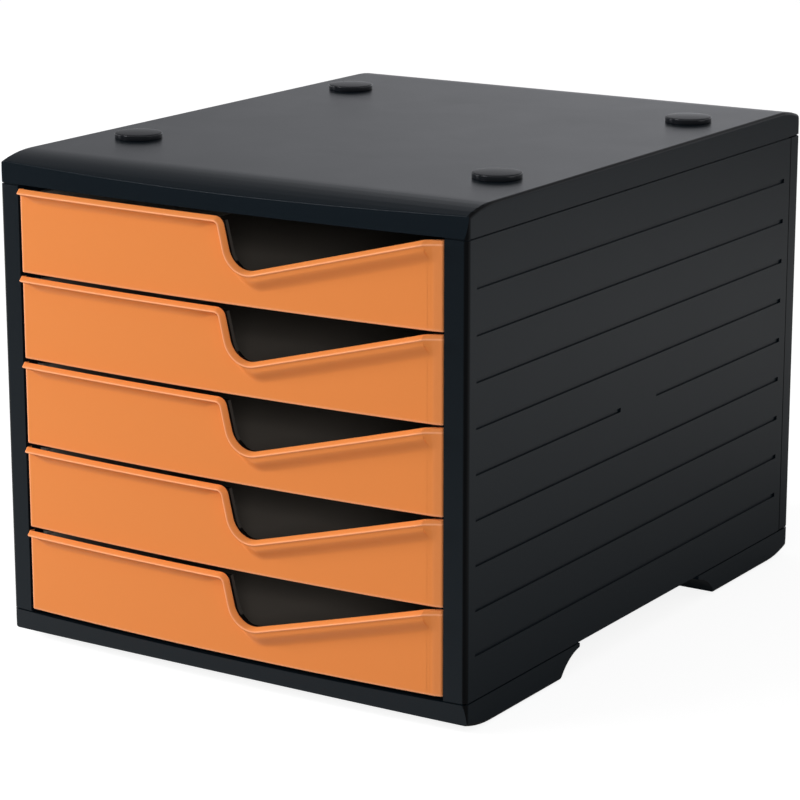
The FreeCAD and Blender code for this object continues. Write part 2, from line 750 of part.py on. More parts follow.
def drawer_tray(number):
    bottom = drawer_bottom(number)
    low = bottom + size("tray_lift")
    top = low + TRAY_HEIGHT
    wall = size("tray_wall")
    ahead = FRONT - size("front_bow")
    levels = (low - EPS, top + EPS)
    block = box(f"tray_block_{number}", (-TRAY_HALF, TRAY_HALF), (ahead, TRAY_REAR), (low, top))
    outer = common(f"tray_outer_{number}", block, bow(f"tray_front_{number}", TRAY_FACE, levels))
    room = box(f"tray_room_{number}", (wall - TRAY_HALF, TRAY_HALF - wall), (ahead, TRAY_REAR - wall),
               (low + size("tray_floor"), top + EPS))
    inner = common(f"tray_inner_{number}", room, bow(f"tray_inside_{number}", TRAY_FACE - wall, levels))
    drop = size("tray_notch_drop")
    shoulder, foot, end = notch_points(bottom, size("tray_lift") + TRAY_HEIGHT, drop, drop)
    points = [foot, (end[0], top), (end[0], top + EPS), (shoulder[0], top + EPS), (shoulder[0], top)]
    depth = size("front_bow") + size("front_wall") + wall + 2 * EPS
    notch = pad(f"tray_notch_{number}", "XZ_Plane", points, depth,
                offset=ahead * -1 - depth)
    round_edges(notch, f"tray_notch_foot_{number}", size("notch_foot_radius"), at_corner(*foot))
    slots = []
    for name, x, level in clip_spots(number):
        wide = size("clip_width") / 2 + size("clip_gap")
        slots.append(box(f"slot_{name}", (x - wide, x + wide), (ahead, TRAY_FRONT + 2 * wall),
                         (level - size("clip_gap"), level + size("clip_wall") + size("clip_gap"))))
    opened = cut(f"tray_open_{number}", outer, inner, notch, *slots)
    flange_low, flange_high = flange_levels(number)
    rims = []
    stop_start = FRONT + size("post_depth") + size("drawer_travel") + size("stop_gap")
    rim_start = TRAY_FRONT + size("front_bow")
    for side in SIDES:
        across = mirrored(side, TRAY_HALF - wall / 2, TRAY_HALF + size("flange_reach"))
        rims.append(box(f"rim_{side}_{number}", across, (rim_start, TRAY_REAR), (flange_low, flange_high)))
        beyond = mirrored(side, TRAY_HALF, TRAY_HALF + size("flange_reach") + size("stop_reach"))
        rims.append(box(f"stop_{side}_{number}", beyond, (stop_start, stop_start + size("stop_length")),
                        (flange_low, flange_high)))
    finish(f"drawer_tray_{number}", fuse(f"tray_{number}", opened, *rims))


# ---------------------------------------------------------------- the whole box
def build():
    plan = housing_plan("housing_plan", Size.of(0))
    inner_plan = housing_plan("inner_plan", size("seam_depth"))
    top_cover(plan)
    base_frame(plan)
    for side in SIDES:
        side_panel(side, plan, inner_plan)
    back_panel(plan, inner_plan)
    for end, side in CORNERS:
        stacking_cap(end, side)
        foot_pad(end, side)
    base_screws()
    for number in range(1, DRAWERS + 1):
        drawer_tray(number)
        drawer_front(number)
    doc.recompute()


def check():
    """Stops if any object failed or any sub-part is not sound."""
    failed = [o.Name for o in doc.Objects if {"Invalid", "Error"} & set(o.State)]
    if failed:
        raise RuntimeError(f"failed objects: {failed}")
    for piece in SUB_PARTS:
        shape = piece.Shape
        if shape.isNull() or not shape.isValid() or not shape.Solids:
            raise RuntimeError(f"unsound sub-part: {piece.Label}")
        print(f"{piece.Label}: {len(shape.Solids)} solid(s), {shape.Volume / 1000:.2f} cm3")


build()
check()
os.makedirs("parts", exist_ok=True)
for piece in SUB_PARTS:
    piece.Shape.exportStep(f"parts/{piece.Label}.step")
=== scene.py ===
"""Dressed model of a desktop file box with five sliding drawers."""

import logging
import math
from dataclasses import dataclass
from enum import Enum
from typing import NamedTuple

import bmesh
import bpy
from mathutils import Matrix, Quaternion, Vector
from mathutils.bvhtree import BVHTree


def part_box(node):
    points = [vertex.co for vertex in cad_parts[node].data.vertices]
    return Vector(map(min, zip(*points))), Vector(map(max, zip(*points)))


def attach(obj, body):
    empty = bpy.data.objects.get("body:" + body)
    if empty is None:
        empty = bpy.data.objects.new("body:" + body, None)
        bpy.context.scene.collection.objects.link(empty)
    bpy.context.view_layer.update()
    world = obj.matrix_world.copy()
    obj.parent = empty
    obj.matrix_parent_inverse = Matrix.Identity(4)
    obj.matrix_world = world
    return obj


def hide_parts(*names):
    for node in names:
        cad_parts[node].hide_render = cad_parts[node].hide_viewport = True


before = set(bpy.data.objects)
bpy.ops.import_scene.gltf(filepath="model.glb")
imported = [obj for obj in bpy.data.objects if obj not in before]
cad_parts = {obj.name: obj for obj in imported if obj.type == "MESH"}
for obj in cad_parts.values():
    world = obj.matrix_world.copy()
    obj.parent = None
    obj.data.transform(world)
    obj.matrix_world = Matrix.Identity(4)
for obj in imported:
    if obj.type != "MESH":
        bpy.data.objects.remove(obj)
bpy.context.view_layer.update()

log = logging.getLogger("file_box")
MM = 0.001
DRAWER_COUNT = 5
CORNERS = tuple((end, side) for end in ("front", "rear") for side in ("left", "right"))


class Slot(Enum):
    """Material slots of the record."""

    HOUSING = "housing_plastic"
    TRAY = "tray_plastic"
    FRONT = "front_plastic"
    CAP = "cap_plastic"
    PAD = "pad_rubber"
    SCREW = "screw_steel"


# ------------------------------------------------------------------ node trees
WHITE = (1.0, 1.0, 1.0, 1.0)


class Grade(NamedTuple):
    """A change from one value to another over a stretch.

    Args:
        start: Where the change begins.
        end: Where it ends.
        before: Number or socket that holds up to the start.
        after: Number or socket that holds from the end on.
    """

    start: float
    end: float
    before: object
    after: object


class Tree:
    """A node tree with short calls for adding and joining nodes."""

    def __init__(self, tree: bpy.types.NodeTree) -> None:
        """Wraps a tree.

        Args:
            tree: The shader or geometry tree to fill.
        """
        self.tree = tree

    def feed(self, target: bpy.types.NodeSocket, value: object) -> None:
        """Gives an input its value.

        Args:
            target: The input.
            value: An output to link it to, or a plain value.
        """
        if isinstance(value, bpy.types.NodeSocket):
            self.tree.links.new(value, target)
        else:
            target.default_value = value

    def add(self, kind: str, **settings: object) -> bpy.types.Node:
        """Adds a node.

        Args:
            kind: Blender's name for the node type.
            **settings: Properties of the node and then, after a leading "in_", what its
                inputs are linked to or set to.

        Returns:
            The new node.
        """
        node = self.tree.nodes.new(kind)
        for name, value in settings.items():
            if name.startswith("in_"):
                self.feed(node.inputs[name[3:].replace("_", " ")], value)
            else:
                setattr(node, name, value)
        return node

    def math(self, operation: str, *operands: object) -> bpy.types.NodeSocket:
        """Works out a number.

        Args:
            operation: Blender's name for what is done.
            *operands: Numbers or outputs, in the order of the node's inputs.

        Returns:
            The output with the result.
        """
        node = self.add("ShaderNodeMath", operation=operation)
        for target, value in zip(node.inputs, operands):
            self.feed(target, value)
        return node.outputs[0]

    def grade(self, value: bpy.types.NodeSocket, grade: Grade,
              curve: str = "LINEAR") -> bpy.types.NodeSocket:
        """Turns a place into a level.

        Args:
            value: The place.
            grade: How the level changes with it.
            curve: Blender's name for the course between the two levels.

        Returns:
            The output with the level.
        """
        node = self.add("ShaderNodeMapRange", interpolation_type=curve, in_Value=value,
                        in_From_Min=grade.start, in_From_Max=grade.end,
                        in_To_Min=grade.before, in_To_Max=grade.after)
        return node.outputs["Result"]

    def choose(self, share: bpy.types.NodeSocket, *choices: bpy.types.NodeSocket,
               data: str = "FLOAT") -> bpy.types.NodeSocket:
        """Mixes two numbers or two colours.

        Args:
            share: 0 for the first, 1 for the second.
            *choices: The two outputs.
            data: FLOAT for numbers, RGBA for colours.

        Returns:
            The output with the mixture.
        """
        node = self.add("ShaderNodeMix", data_type=data, in_Factor=share)
        kind = "VALUE" if data == "FLOAT" else data
        targets = [socket for socket in node.inputs if socket.type == kind][-2:]
        for target, choice in zip(targets, choices):
            self.feed(target, choice)
        return next(socket for socket in node.outputs if socket.type == kind)

    def choose_shader(self, share: bpy.types.NodeSocket, first: bpy.types.NodeSocket,
                      second: bpy.types.NodeSocket) -> bpy.types.NodeSocket:
        """Mixes two shaders.

        Args:
            share: 0 for the first, 1 for the second.
            first: The first shader's output.
            second: The second shader's output.

        Returns:
            The output with the mixture.
        """
        node = self.add("ShaderNodeMixShader")
        for target, value in zip(node.inputs, (share, first, second)):
            self.feed(target, value)
        return node.outputs[0]


def new_group(name: str, kind: str, inputs: dict[str, tuple[str, object]],
              outputs: dict[str, str]) -> tuple[Tree, bpy.types.Node, bpy.types.Node]:
    """Starts a node group with named sockets.

    Args:
        name: The group's name.
        kind: ShaderNodeTree or GeometryNodeTree.
        inputs: Socket type and default value (or None) by input name.
        outputs: Socket type by output name.

    Returns:
        The tree, its input node and its output node.
    """
    tree = bpy.data.node_groups.new(name, kind)
    for label, (socket, value) in inputs.items():
        made = tree.interface.new_socket(label, in_out="INPUT", socket_type=socket)
        if value is not None:
            made.default_value = value
    for label, socket in outputs.items():
        tree.interface.new_socket(label, in_out="OUTPUT", socket_type=socket)
    wrapped = Tree(tree)
    return wrapped, wrapped.add("NodeGroupInput"), wrapped.add("NodeGroupOutput")


def new_material(name: str) -> tuple[bpy.types.Material, Tree]:
    """Starts a material with no nodes.

    Args:
        name: The material's name.

    Returns:
        The material and its tree.
    """
    made = bpy.data.materials.new(name)
    made.use_nodes = True
    made.node_tree.nodes.clear()
    return made, Tree(made.node_tree)


class SurfaceEffects:
    """The shader groups that several finishes share, each built once."""

    def __init__(self) -> None:
        """Builds the groups."""
        self.grain = self._grain()
        self.tone_and_painted_light = self._tone_and_painted_light()
        self.handling = self._handling()

    @staticmethod
    def _grain() -> bpy.types.NodeTree:
        """Makes the fine moulded texture.

        Returns:
            A group that puts out a height.
        """
        tree, start, end = new_group(
            "moulded_grain", "ShaderNodeTree",
            {"Grains per metre": ("NodeSocketFloat", 1800.0),
             "Waviness": ("NodeSocketFloat", 0.04)},
            {"Height": "NodeSocketFloat"})
        place = tree.add("ShaderNodeTexCoord").outputs["Object"]
        fine = tree.add("ShaderNodeTexNoise", in_Vector=place,
                        in_Scale=start.outputs["Grains per metre"],
                        in_Detail=2.0, in_Roughness=0.6)
        broad = tree.add("ShaderNodeTexNoise", in_Vector=place, in_Scale=38.0, in_Detail=1.0)
        tree.feed(end.inputs["Height"], tree.choose(
            start.outputs["Waviness"], fine.outputs["Fac"], broad.outputs["Fac"]))
        return tree.tree

    @staticmethod
    def _tone_and_painted_light() -> bpy.types.NodeTree:
        """Makes the slow change of tone in a plastic, and paints shade and highlights on its marked
        faces.

        Returns:
            A group that puts out a colour.
        """
        tree, start, end = new_group(
            "tone_drift", "ShaderNodeTree",
            {"Tone": ("NodeSocketColor", (0.5, 0.5, 0.5, 1.0)),
             # Edge tone is the colour of the painted shade and highlights on marked faces.
             "Edge tone": ("NodeSocketColor", (0.5, 0.5, 0.5, 1.0)),
             "Spread": ("NodeSocketFloat", 0.04),
             "Patches per metre": ("NodeSocketFloat", 9.0)},
            {"Color": "NodeSocketColor"})
        place = tree.add("ShaderNodeTexCoord").outputs["Object"]
        cloud = tree.add("ShaderNodeTexNoise", in_Vector=place,
                         in_Scale=start.outputs["Patches per metre"],
                         in_Detail=3.0, in_Roughness=0.5)
        centred = tree.math("SUBTRACT", cloud.outputs["Fac"], 0.5)
        scaled = tree.math("MULTIPLY", centred, start.outputs["Spread"])
        # Mask of the painted shade and highlights written on the mesh.
        edge = tree.add("ShaderNodeAttribute", attribute_name="edge")
        mixed = tree.choose(edge.outputs["Fac"], start.outputs["Tone"],
                            start.outputs["Edge tone"], data="RGBA")
        toned = tree.add("ShaderNodeVectorMath", operation="SCALE", in_Vector=mixed,
                         in_Scale=tree.math("ADD", scaled, 1.0))
        tree.feed(end.inputs["Color"], toned.outputs[0])
        return tree.tree

    @staticmethod
    def _handling() -> bpy.types.NodeTree:
        """Makes the roughness change a little where hands and cloths have been.

        Returns:
            A group that puts out a roughness.
        """
        tree, start, end = new_group(
            "handling", "ShaderNodeTree",
            {"Roughness": ("NodeSocketFloat", 0.4),
             "Spread": ("NodeSocketFloat", 0.02)},
            {"Roughness": "NodeSocketFloat"})
        cloud = tree.add("ShaderNodeTexNoise", in_Scale=26.0, in_Detail=5.0, in_Distortion=0.6,
                         in_Vector=tree.add("ShaderNodeTexCoord").outputs["Object"])
        middle, spread = start.outputs["Roughness"], start.outputs["Spread"]
        ends = Grade(0.0, 1.0, tree.math("SUBTRACT", middle, spread),
                     tree.math("ADD", middle, spread))
        tree.feed(end.inputs["Roughness"], tree.grade(cloud.outputs["Fac"], ends))
        return tree.tree


@dataclass(frozen=True)
class Moulded:
    """A moulded plastic or rubber finish.

    Args:
        slot: The record's slot that it stands for.
        tone: Linear colour of the faces.
        edge_tone: Linear colour painted where the mesh marks an edge or crevice: painted
            shade where darker than the tone, a painted highlight where lighter.
        roughness: Middle of the roughness.
        specular: Strength of the reflection, 0.5 for ordinary plastic.
        grain: Grains per metre of the surface texture.
        relief: Height of that texture in metres.
        spread: How far the tone drifts.
        rim_gloss: True where the marked faces carry a glossy coat.
        coat_roughness: Roughness of that coat.
    """

    slot: Slot
    tone: tuple[float, float, float]
    edge_tone: tuple[float, float, float]
    roughness: float
    specular: float
    grain: float
    relief: float
    spread: float = 0.05
    rim_gloss: bool = False
    coat_roughness: float = 0.12

    def material(self, effects: SurfaceEffects) -> bpy.types.Material:
        """Builds the material.

        Args:
            effects: The shared shader groups.

        Returns:
            The finished material.
        """
        made, tree = new_material(self.slot.value)
        tone_and_painted_light = tree.add("ShaderNodeGroup", node_tree=effects.tone_and_painted_light, in_Tone=(*self.tone, 1.0),
                         in_Edge_tone=(*self.edge_tone, 1.0), in_Spread=self.spread)
        handling = tree.add("ShaderNodeGroup", node_tree=effects.handling,
                            in_Roughness=self.roughness)
        grain = tree.add("ShaderNodeGroup", node_tree=effects.grain,
                         in_Grains_per_metre=self.grain)
        bump = tree.add("ShaderNodeBump", in_Strength=1.0, in_Distance=self.relief,
                        in_Height=grain.outputs["Height"])
        shader = tree.add("ShaderNodeBsdfPrincipled", in_Specular_IOR_Level=self.specular,
                          in_Base_Color=tone_and_painted_light.outputs["Color"],
                          in_Roughness=handling.outputs["Roughness"],
                          in_Normal=bump.outputs["Normal"])
        if self.rim_gloss:
            rim = tree.add("ShaderNodeAttribute", attribute_name="edge")
            tree.feed(shader.inputs["Coat Roughness"], self.coat_roughness)
            tree.feed(shader.inputs["Coat Weight"], rim.outputs["Fac"])
        tree.add("ShaderNodeOutputMaterial", in_Surface=shader.outputs["BSDF"])
        return made


@dataclass(frozen=True)
class PlatedSteel:
    """Zinc-plated steel with fine turning marks.

    Args:
        slot: The record's slot that it stands for.
        tone: Linear colour.
        roughness: Middle of the roughness.
        roughness_spread: How far the roughness changes over the surface.
        spread: How far the tone drifts.
        marks: Turning marks per metre.
    """

    slot: Slot
    tone: tuple[float, float, float]
    roughness: float
    roughness_spread: float = 0.12
    spread: float = 0.2
    marks: float = 300.0

    def material(self, effects: SurfaceEffects) -> bpy.types.Material:
        """Builds the material.

        Args:
            effects: The shared shader groups.

        Returns:
            The finished material.
        """
        made, tree = new_material(self.slot.value)
        tone = (*self.tone, 1.0)
        tone_and_painted_light = tree.add("ShaderNodeGroup", node_tree=effects.tone_and_painted_light, in_Tone=tone,
                         in_Edge_tone=tone, in_Spread=self.spread,
                         in_Patches_per_metre=self.marks)
        handling = tree.add("ShaderNodeGroup", node_tree=effects.handling,
                            in_Roughness=self.roughness, in_Spread=self.roughness_spread)
        shader = tree.add("ShaderNodeBsdfPrincipled", in_Metallic=1.0,
                          in_Base_Color=tone_and_painted_light.outputs["Color"],
                          in_Roughness=handling.outputs["Roughness"])
        tree.add("ShaderNodeOutputMaterial", in_Surface=shader.outputs["BSDF"])
        return made


FINISHES = (
    # The housing's edge tone is painted shade in its crevices and on its rounded corners and edges.
    Moulded(Slot.HOUSING, (0.0044, 0.0077, 0.0109), (0.0004, 0.0007, 0.0012),
            roughness=0.30, specular=0.12, grain=1500.0, relief=0.00003),
    # The tray's edge tone is painted shade in its crevices and on its front wall.
    Moulded(Slot.TRAY, (0.250, 0.219, 0.190), (0.006, 0.005, 0.005),
            roughness=0.45, specular=0.08, grain=1500.0, relief=0.00003),
    # The front's edge tone is a painted highlight on the lip's crown and the edge roundings.
    Moulded(Slot.FRONT, (0.80, 0.252, 0.062), (1.0, 0.42, 0.20),
            roughness=0.40, specular=0.20, grain=2200.0, relief=0.00001, spread=0.02),
    # The cap's edge tone is a slightly lighter painted highlight on its glossy rim.
    Moulded(Slot.CAP, (0.004, 0.005, 0.007), (0.006, 0.007, 0.009),
            roughness=0.16, specular=0.012, grain=900.0, relief=0.000002, rim_gloss=True),
    Moulded(Slot.PAD, (0.016, 0.016, 0.017), (0.008, 0.008, 0.008),
            roughness=0.75, specular=0.2, grain=1200.0, relief=0.00006),
    PlatedSteel(Slot.SCREW, (0.40, 0.40, 0.42), roughness=0.34),
)


# ------------------------------------------------------------------ placing pieces
def set_out(name: str, data: bpy.types.ID) -> bpy.types.Object:
    """Puts a mesh, lamp or camera into the scene.

    Args:
        name: Name of the object.
        data: What the object shows.

    Returns:
        The new object.
    """
    holder = bpy.data.objects.new(name, data)
    bpy.context.scene.collection.objects.link(holder)
    return holder


def to_mesh(shape: bmesh.types.BMesh, name: str, smooth: bool = True) -> bpy.types.Mesh:
    """Turns an edited shape into a mesh and frees it.

    Args:
        shape: The shape.
        name: Name of the mesh.
        smooth: True to shade its faces smoothly.

    Returns:
        The new mesh.
    """
    mesh = bpy.data.meshes.new(name)
    shape.to_mesh(mesh)
    shape.free()
    if smooth:
        mesh.shade_smooth()
    return mesh


def mark_painted_light_and_gloss(mesh: bpy.types.Mesh, domain: str, tones: list[float]) -> None:
    """Writes how far each face or vertex takes its finish's painted light tone, which paints shade
    and highlights, and its glossy coat where the finish has one.

    Args:
        mesh: The mesh to mark.
        domain: FACE or POINT.
        tones: A value from 0 to 1 for each.
    """
    edge = mesh.attributes.new("edge", "FLOAT", domain)
    edge.data.foreach_set("value", tones)


class Workshop:
    """Holds the materials and turns meshes into pieces of the box."""

    def __init__(self) -> None:
        """Builds every material."""
        effects = SurfaceEffects()
        self.materials = {finish.slot: finish.material(effects) for finish in FINISHES}

    def add(self, mesh: bpy.types.Mesh, body: str, slot: Slot, node: str) -> None:
        """Makes a mesh a piece that stands for a CAD node.

        Args:
            mesh: The finished mesh, in place.
            body: The CAD body that it moves with.
            slot: Its material slot.
            node: The CAD node that it replaces.
        """
        mesh.materials.clear()
        mesh.materials.append(self.materials[slot])
        piece = set_out(mesh.name, mesh)
        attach(piece, body)
        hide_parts(node)
        log.info("%s rides on %s, %d faces", piece.name, body, len(mesh.polygons))


def evaluated(piece: bpy.types.Object, name: str) -> bpy.types.Mesh:
    """Turns an object with modifiers into a plain mesh and removes the object.

    Args:
        piece: The object to convert.
        name: Name of the new mesh.

    Returns:
        The plain mesh.
    """
    bpy.context.view_layer.update()
    graph = bpy.context.evaluated_depsgraph_get()
    mesh = bpy.data.meshes.new_from_object(piece.evaluated_get(graph))
    mesh.name = name
    source = piece.data
    bpy.data.objects.remove(piece)
    bpy.data.meshes.remove(source)
    return mesh


def blend(low: float, high: float, share: float) -> float:
    """Eases from one value to another as share goes from 0 to 1."""
    share = min(max(share, 0.0), 1.0)
    return low + (high - low) * share * share * (3.0 - 2.0 * share)


@dataclass(frozen=True)
class EdgeRounding:
    """Rounds the sharp edges of a moulding and paints shade in its crevices and on its corners.

    Args:
        radius: Widest rounding in metres. Short edges nearby hold it smaller.
        steps: Faces across it.
        sharper_than: Smallest angle between faces that counts as an edge, in degrees.
        flatter_than: Largest angle between faces that are merged into one, in degrees.
        most_sides: Faces with more sides than this are split before the edges are rounded.
        crease_radius: Width of the rounding along the creases at both ends.
        crease_steps: Faces across that rounding.
        end_face: Least part of a normal along the box that marks an end face.
        arc_rise: Least and largest upright part of the arcs' normals next to the creases.
        reach: How near a wall has to be for a crevice to take painted shade, in metres.
        spokes: Directions in which walls are looked for.
        leans: The directions' angles from the normal, in degrees, in turn.
        crevice: Share of directions with a wall where a crevice's painted shade starts, and its
            range.
        corner_shade_depth: How far inwards the rounded upright corners and long edges take painted
            shade.
        slant: Slant of a face at which a corner's painted shade starts, and its range.
    """

    radius: float = 0.4 * MM
    steps: int = 2
    sharper_than: float = 32.0
    flatter_than: float = 0.3
    most_sides: int = 12
    crease_radius: float = 0.45 * MM
    crease_steps: int = 4
    end_face: float = 0.9
    arc_rise: tuple[float, float] = (0.85, 0.99)
    reach: float = 1.7 * MM
    spokes: int = 12
    leans: tuple[float, float] = (62.0, 40.0)
    crevice: tuple[float, float] = (0.30, 0.45)
    corner_shade_depth: float = 3.2 * MM
    slant: tuple[float, float] = (0.12, 0.22)

    def apply(self, node: str) -> bpy.types.Mesh:
        """Copies a CAD node's mesh, rounds its edges and paints shade in its crevices and on its
        corners.

        Args:
            node: The CAD node.

        Returns:
            The rounded mesh.
        """
        clean = bmesh.new()
        clean.from_mesh(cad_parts[node].data)
        bmesh.ops.remove_doubles(clean, verts=clean.verts, dist=1e-6)
        bmesh.ops.dissolve_limit(clean, angle_limit=math.radians(self.flatter_than),
                                 verts=clean.verts, edges=clean.edges)
        wide = [face for face in clean.faces if len(face.verts) > self.most_sides]
        bmesh.ops.triangulate(clean, faces=wide)
        self._ease_creases(clean)
        piece = set_out(f"{node}_rounded", to_mesh(clean, f"{node}_rounded"))
        bevel = piece.modifiers.new("round", "BEVEL")
        bevel.width = self.radius
        bevel.segments = self.steps
        bevel.limit_method = "ANGLE"
        bevel.angle_limit = math.radians(self.sharper_than)
        bevel.use_clamp_overlap = True
        bevel.miter_outer = "MITER_ARC"
        even = piece.modifiers.new("even", "WEIGHTED_NORMAL")
        even.keep_sharp = True
        even.weight = 80
        rounded = evaluated(piece, f"{node}_shell")
        self._mark_painted_shade(rounded, max(abs(corner.x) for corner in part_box(node)))
        return rounded

    def _ease_creases(self, clean: bmesh.types.BMesh) -> None:
        """Rounds the creases where the long arcs of cover and base meet their end faces.

        Args:
            clean: The mesh, changed in place.
        """
        creases = []
        for edge in clean.edges:
            if len(edge.link_faces) != 2 or not edge.is_convex:
                continue
            along = max(abs(face.normal.y) for face in edge.link_faces)
            rise = max(abs(face.normal.z) for face in edge.link_faces)
            if along > self.end_face and self.arc_rise[0] < rise < self.arc_rise[1]:
                creases.append(edge)
        if creases:
            bmesh.ops.bevel(clean, geom=creases, offset=self.crease_radius, offset_type="OFFSET",
                            segments=self.crease_steps, profile=0.5, affect="EDGES",
                            clamp_overlap=False)

    def _mark_painted_shade(self, mesh: bpy.types.Mesh, half_width: float) -> None:
        """Writes each face's painted shade from how deep in a crevice or on an outer corner it
        lies.

        Args:
            mesh: The rounded mesh.
            half_width: Its largest distance from the middle of the box.
        """
        shape = bmesh.new()
        shape.from_mesh(mesh)
        walls = BVHTree.FromBMesh(shape)
        tones = []
        for face in shape.faces:
            centre, normal = face.calc_center_median(), face.normal
            closed = self._closed_share(walls, centre, normal)
            # Crevices take painted shade by how closed in they are.
            tone = blend(0.0, 1.0, (closed - self.crevice[0]) / self.crevice[1])
            # Rounded upright corners and long edges take painted shade by their slant.
            if abs(centre.x) > half_width - self.corner_shade_depth:
                slant = abs(normal.x) * math.sqrt(max(1.0 - normal.x ** 2, 0.0))
                tone = max(tone, blend(0.0, 1.0, (slant - self.slant[0]) / self.slant[1]))
            tones.append(tone)
        shape.free()
        mark_painted_light_and_gloss(mesh, "FACE", tones)

    def _closed_share(self, walls: BVHTree, centre: Vector, normal: Vector) -> float:
        """Share of the directions over a face that meet a wall close by.

        Args:
            walls: Every face of the moulding.
            centre: Middle of the face.
            normal: The face's normal.

        Returns:
            0 for an open face, up to 1 deep in a crevice.
        """
        if normal.length < 0.5:
            return 0.0
        side = normal.orthogonal().normalized()
        start = centre + normal * 0.02 * MM
        met = 0
        for i in range(self.spokes):
            lean = math.radians(self.leans[i % 2])
            turned = Quaternion(normal, math.tau * i / self.spokes) @ side
            way = normal * math.cos(lean) + turned * math.sin(lean)
            if walls.ray_cast(start, way, self.reach)[0] is not None:
                met += 1
        return met / self.spokes


def lathe(name: str, centre: Vector, profile: list[tuple[float, float]],
          steps: int) -> bpy.types.Mesh:
    """Turns a profile about an upright axis.

    Args:
        name: Name of the mesh.
        centre: Where the axis meets height zero.
        profile: Radius and height pairs, bottom to top, both ends on the axis.
        steps: Faces round the axis.

    Returns:
        A closed mesh with its normals outwards.
    """
    turned = bmesh.new()
    rings = []
    for radius, height in profile:
        ring = []
        for i in range(steps if radius else 1):
            angle = math.tau * i / steps
            spoke = Vector((math.cos(angle) * radius, math.sin(angle) * radius, height))
            ring.append(turned.verts.new(centre + spoke))
        rings.append(ring)
    for low, high in zip(rings, rings[1:]):
        for i in range(steps):
            j = (i + 1) % steps
            corners = [low[i % len(low)], low[j % len(low)],
                       high[j % len(high)], high[i % len(high)]]
            turned.faces.new(list(dict.fromkeys(corners)))
    bmesh.ops.recalc_face_normals(turned, faces=turned.faces)
    return to_mesh(turned, name)


def rounded_corner(radius: float, height: float, turn: float, upper: bool,
                   steps: int = 4) -> list[tuple[float, float]]:
    """Profile points of a rounded rim.

    Args:
        radius: Radius of the rim's outside.
        height: Level of the flat face that the rim meets.
        turn: Radius of the rounding.
        upper: True for a rim whose flat face is on top.
        steps: Stretches along the rounding.

    Returns:
        Radius and height pairs, bottom to top.
    """
    points = []
    for i in range(steps + 1):
        angle = math.pi / 2 * i / steps
        across, along = math.cos(angle) * turn, math.sin(angle) * turn
        if upper:
            points.append((radius - turn + across, height - turn + along))
        else:
            points.append((radius - turn + along, height + turn - across))
    return points


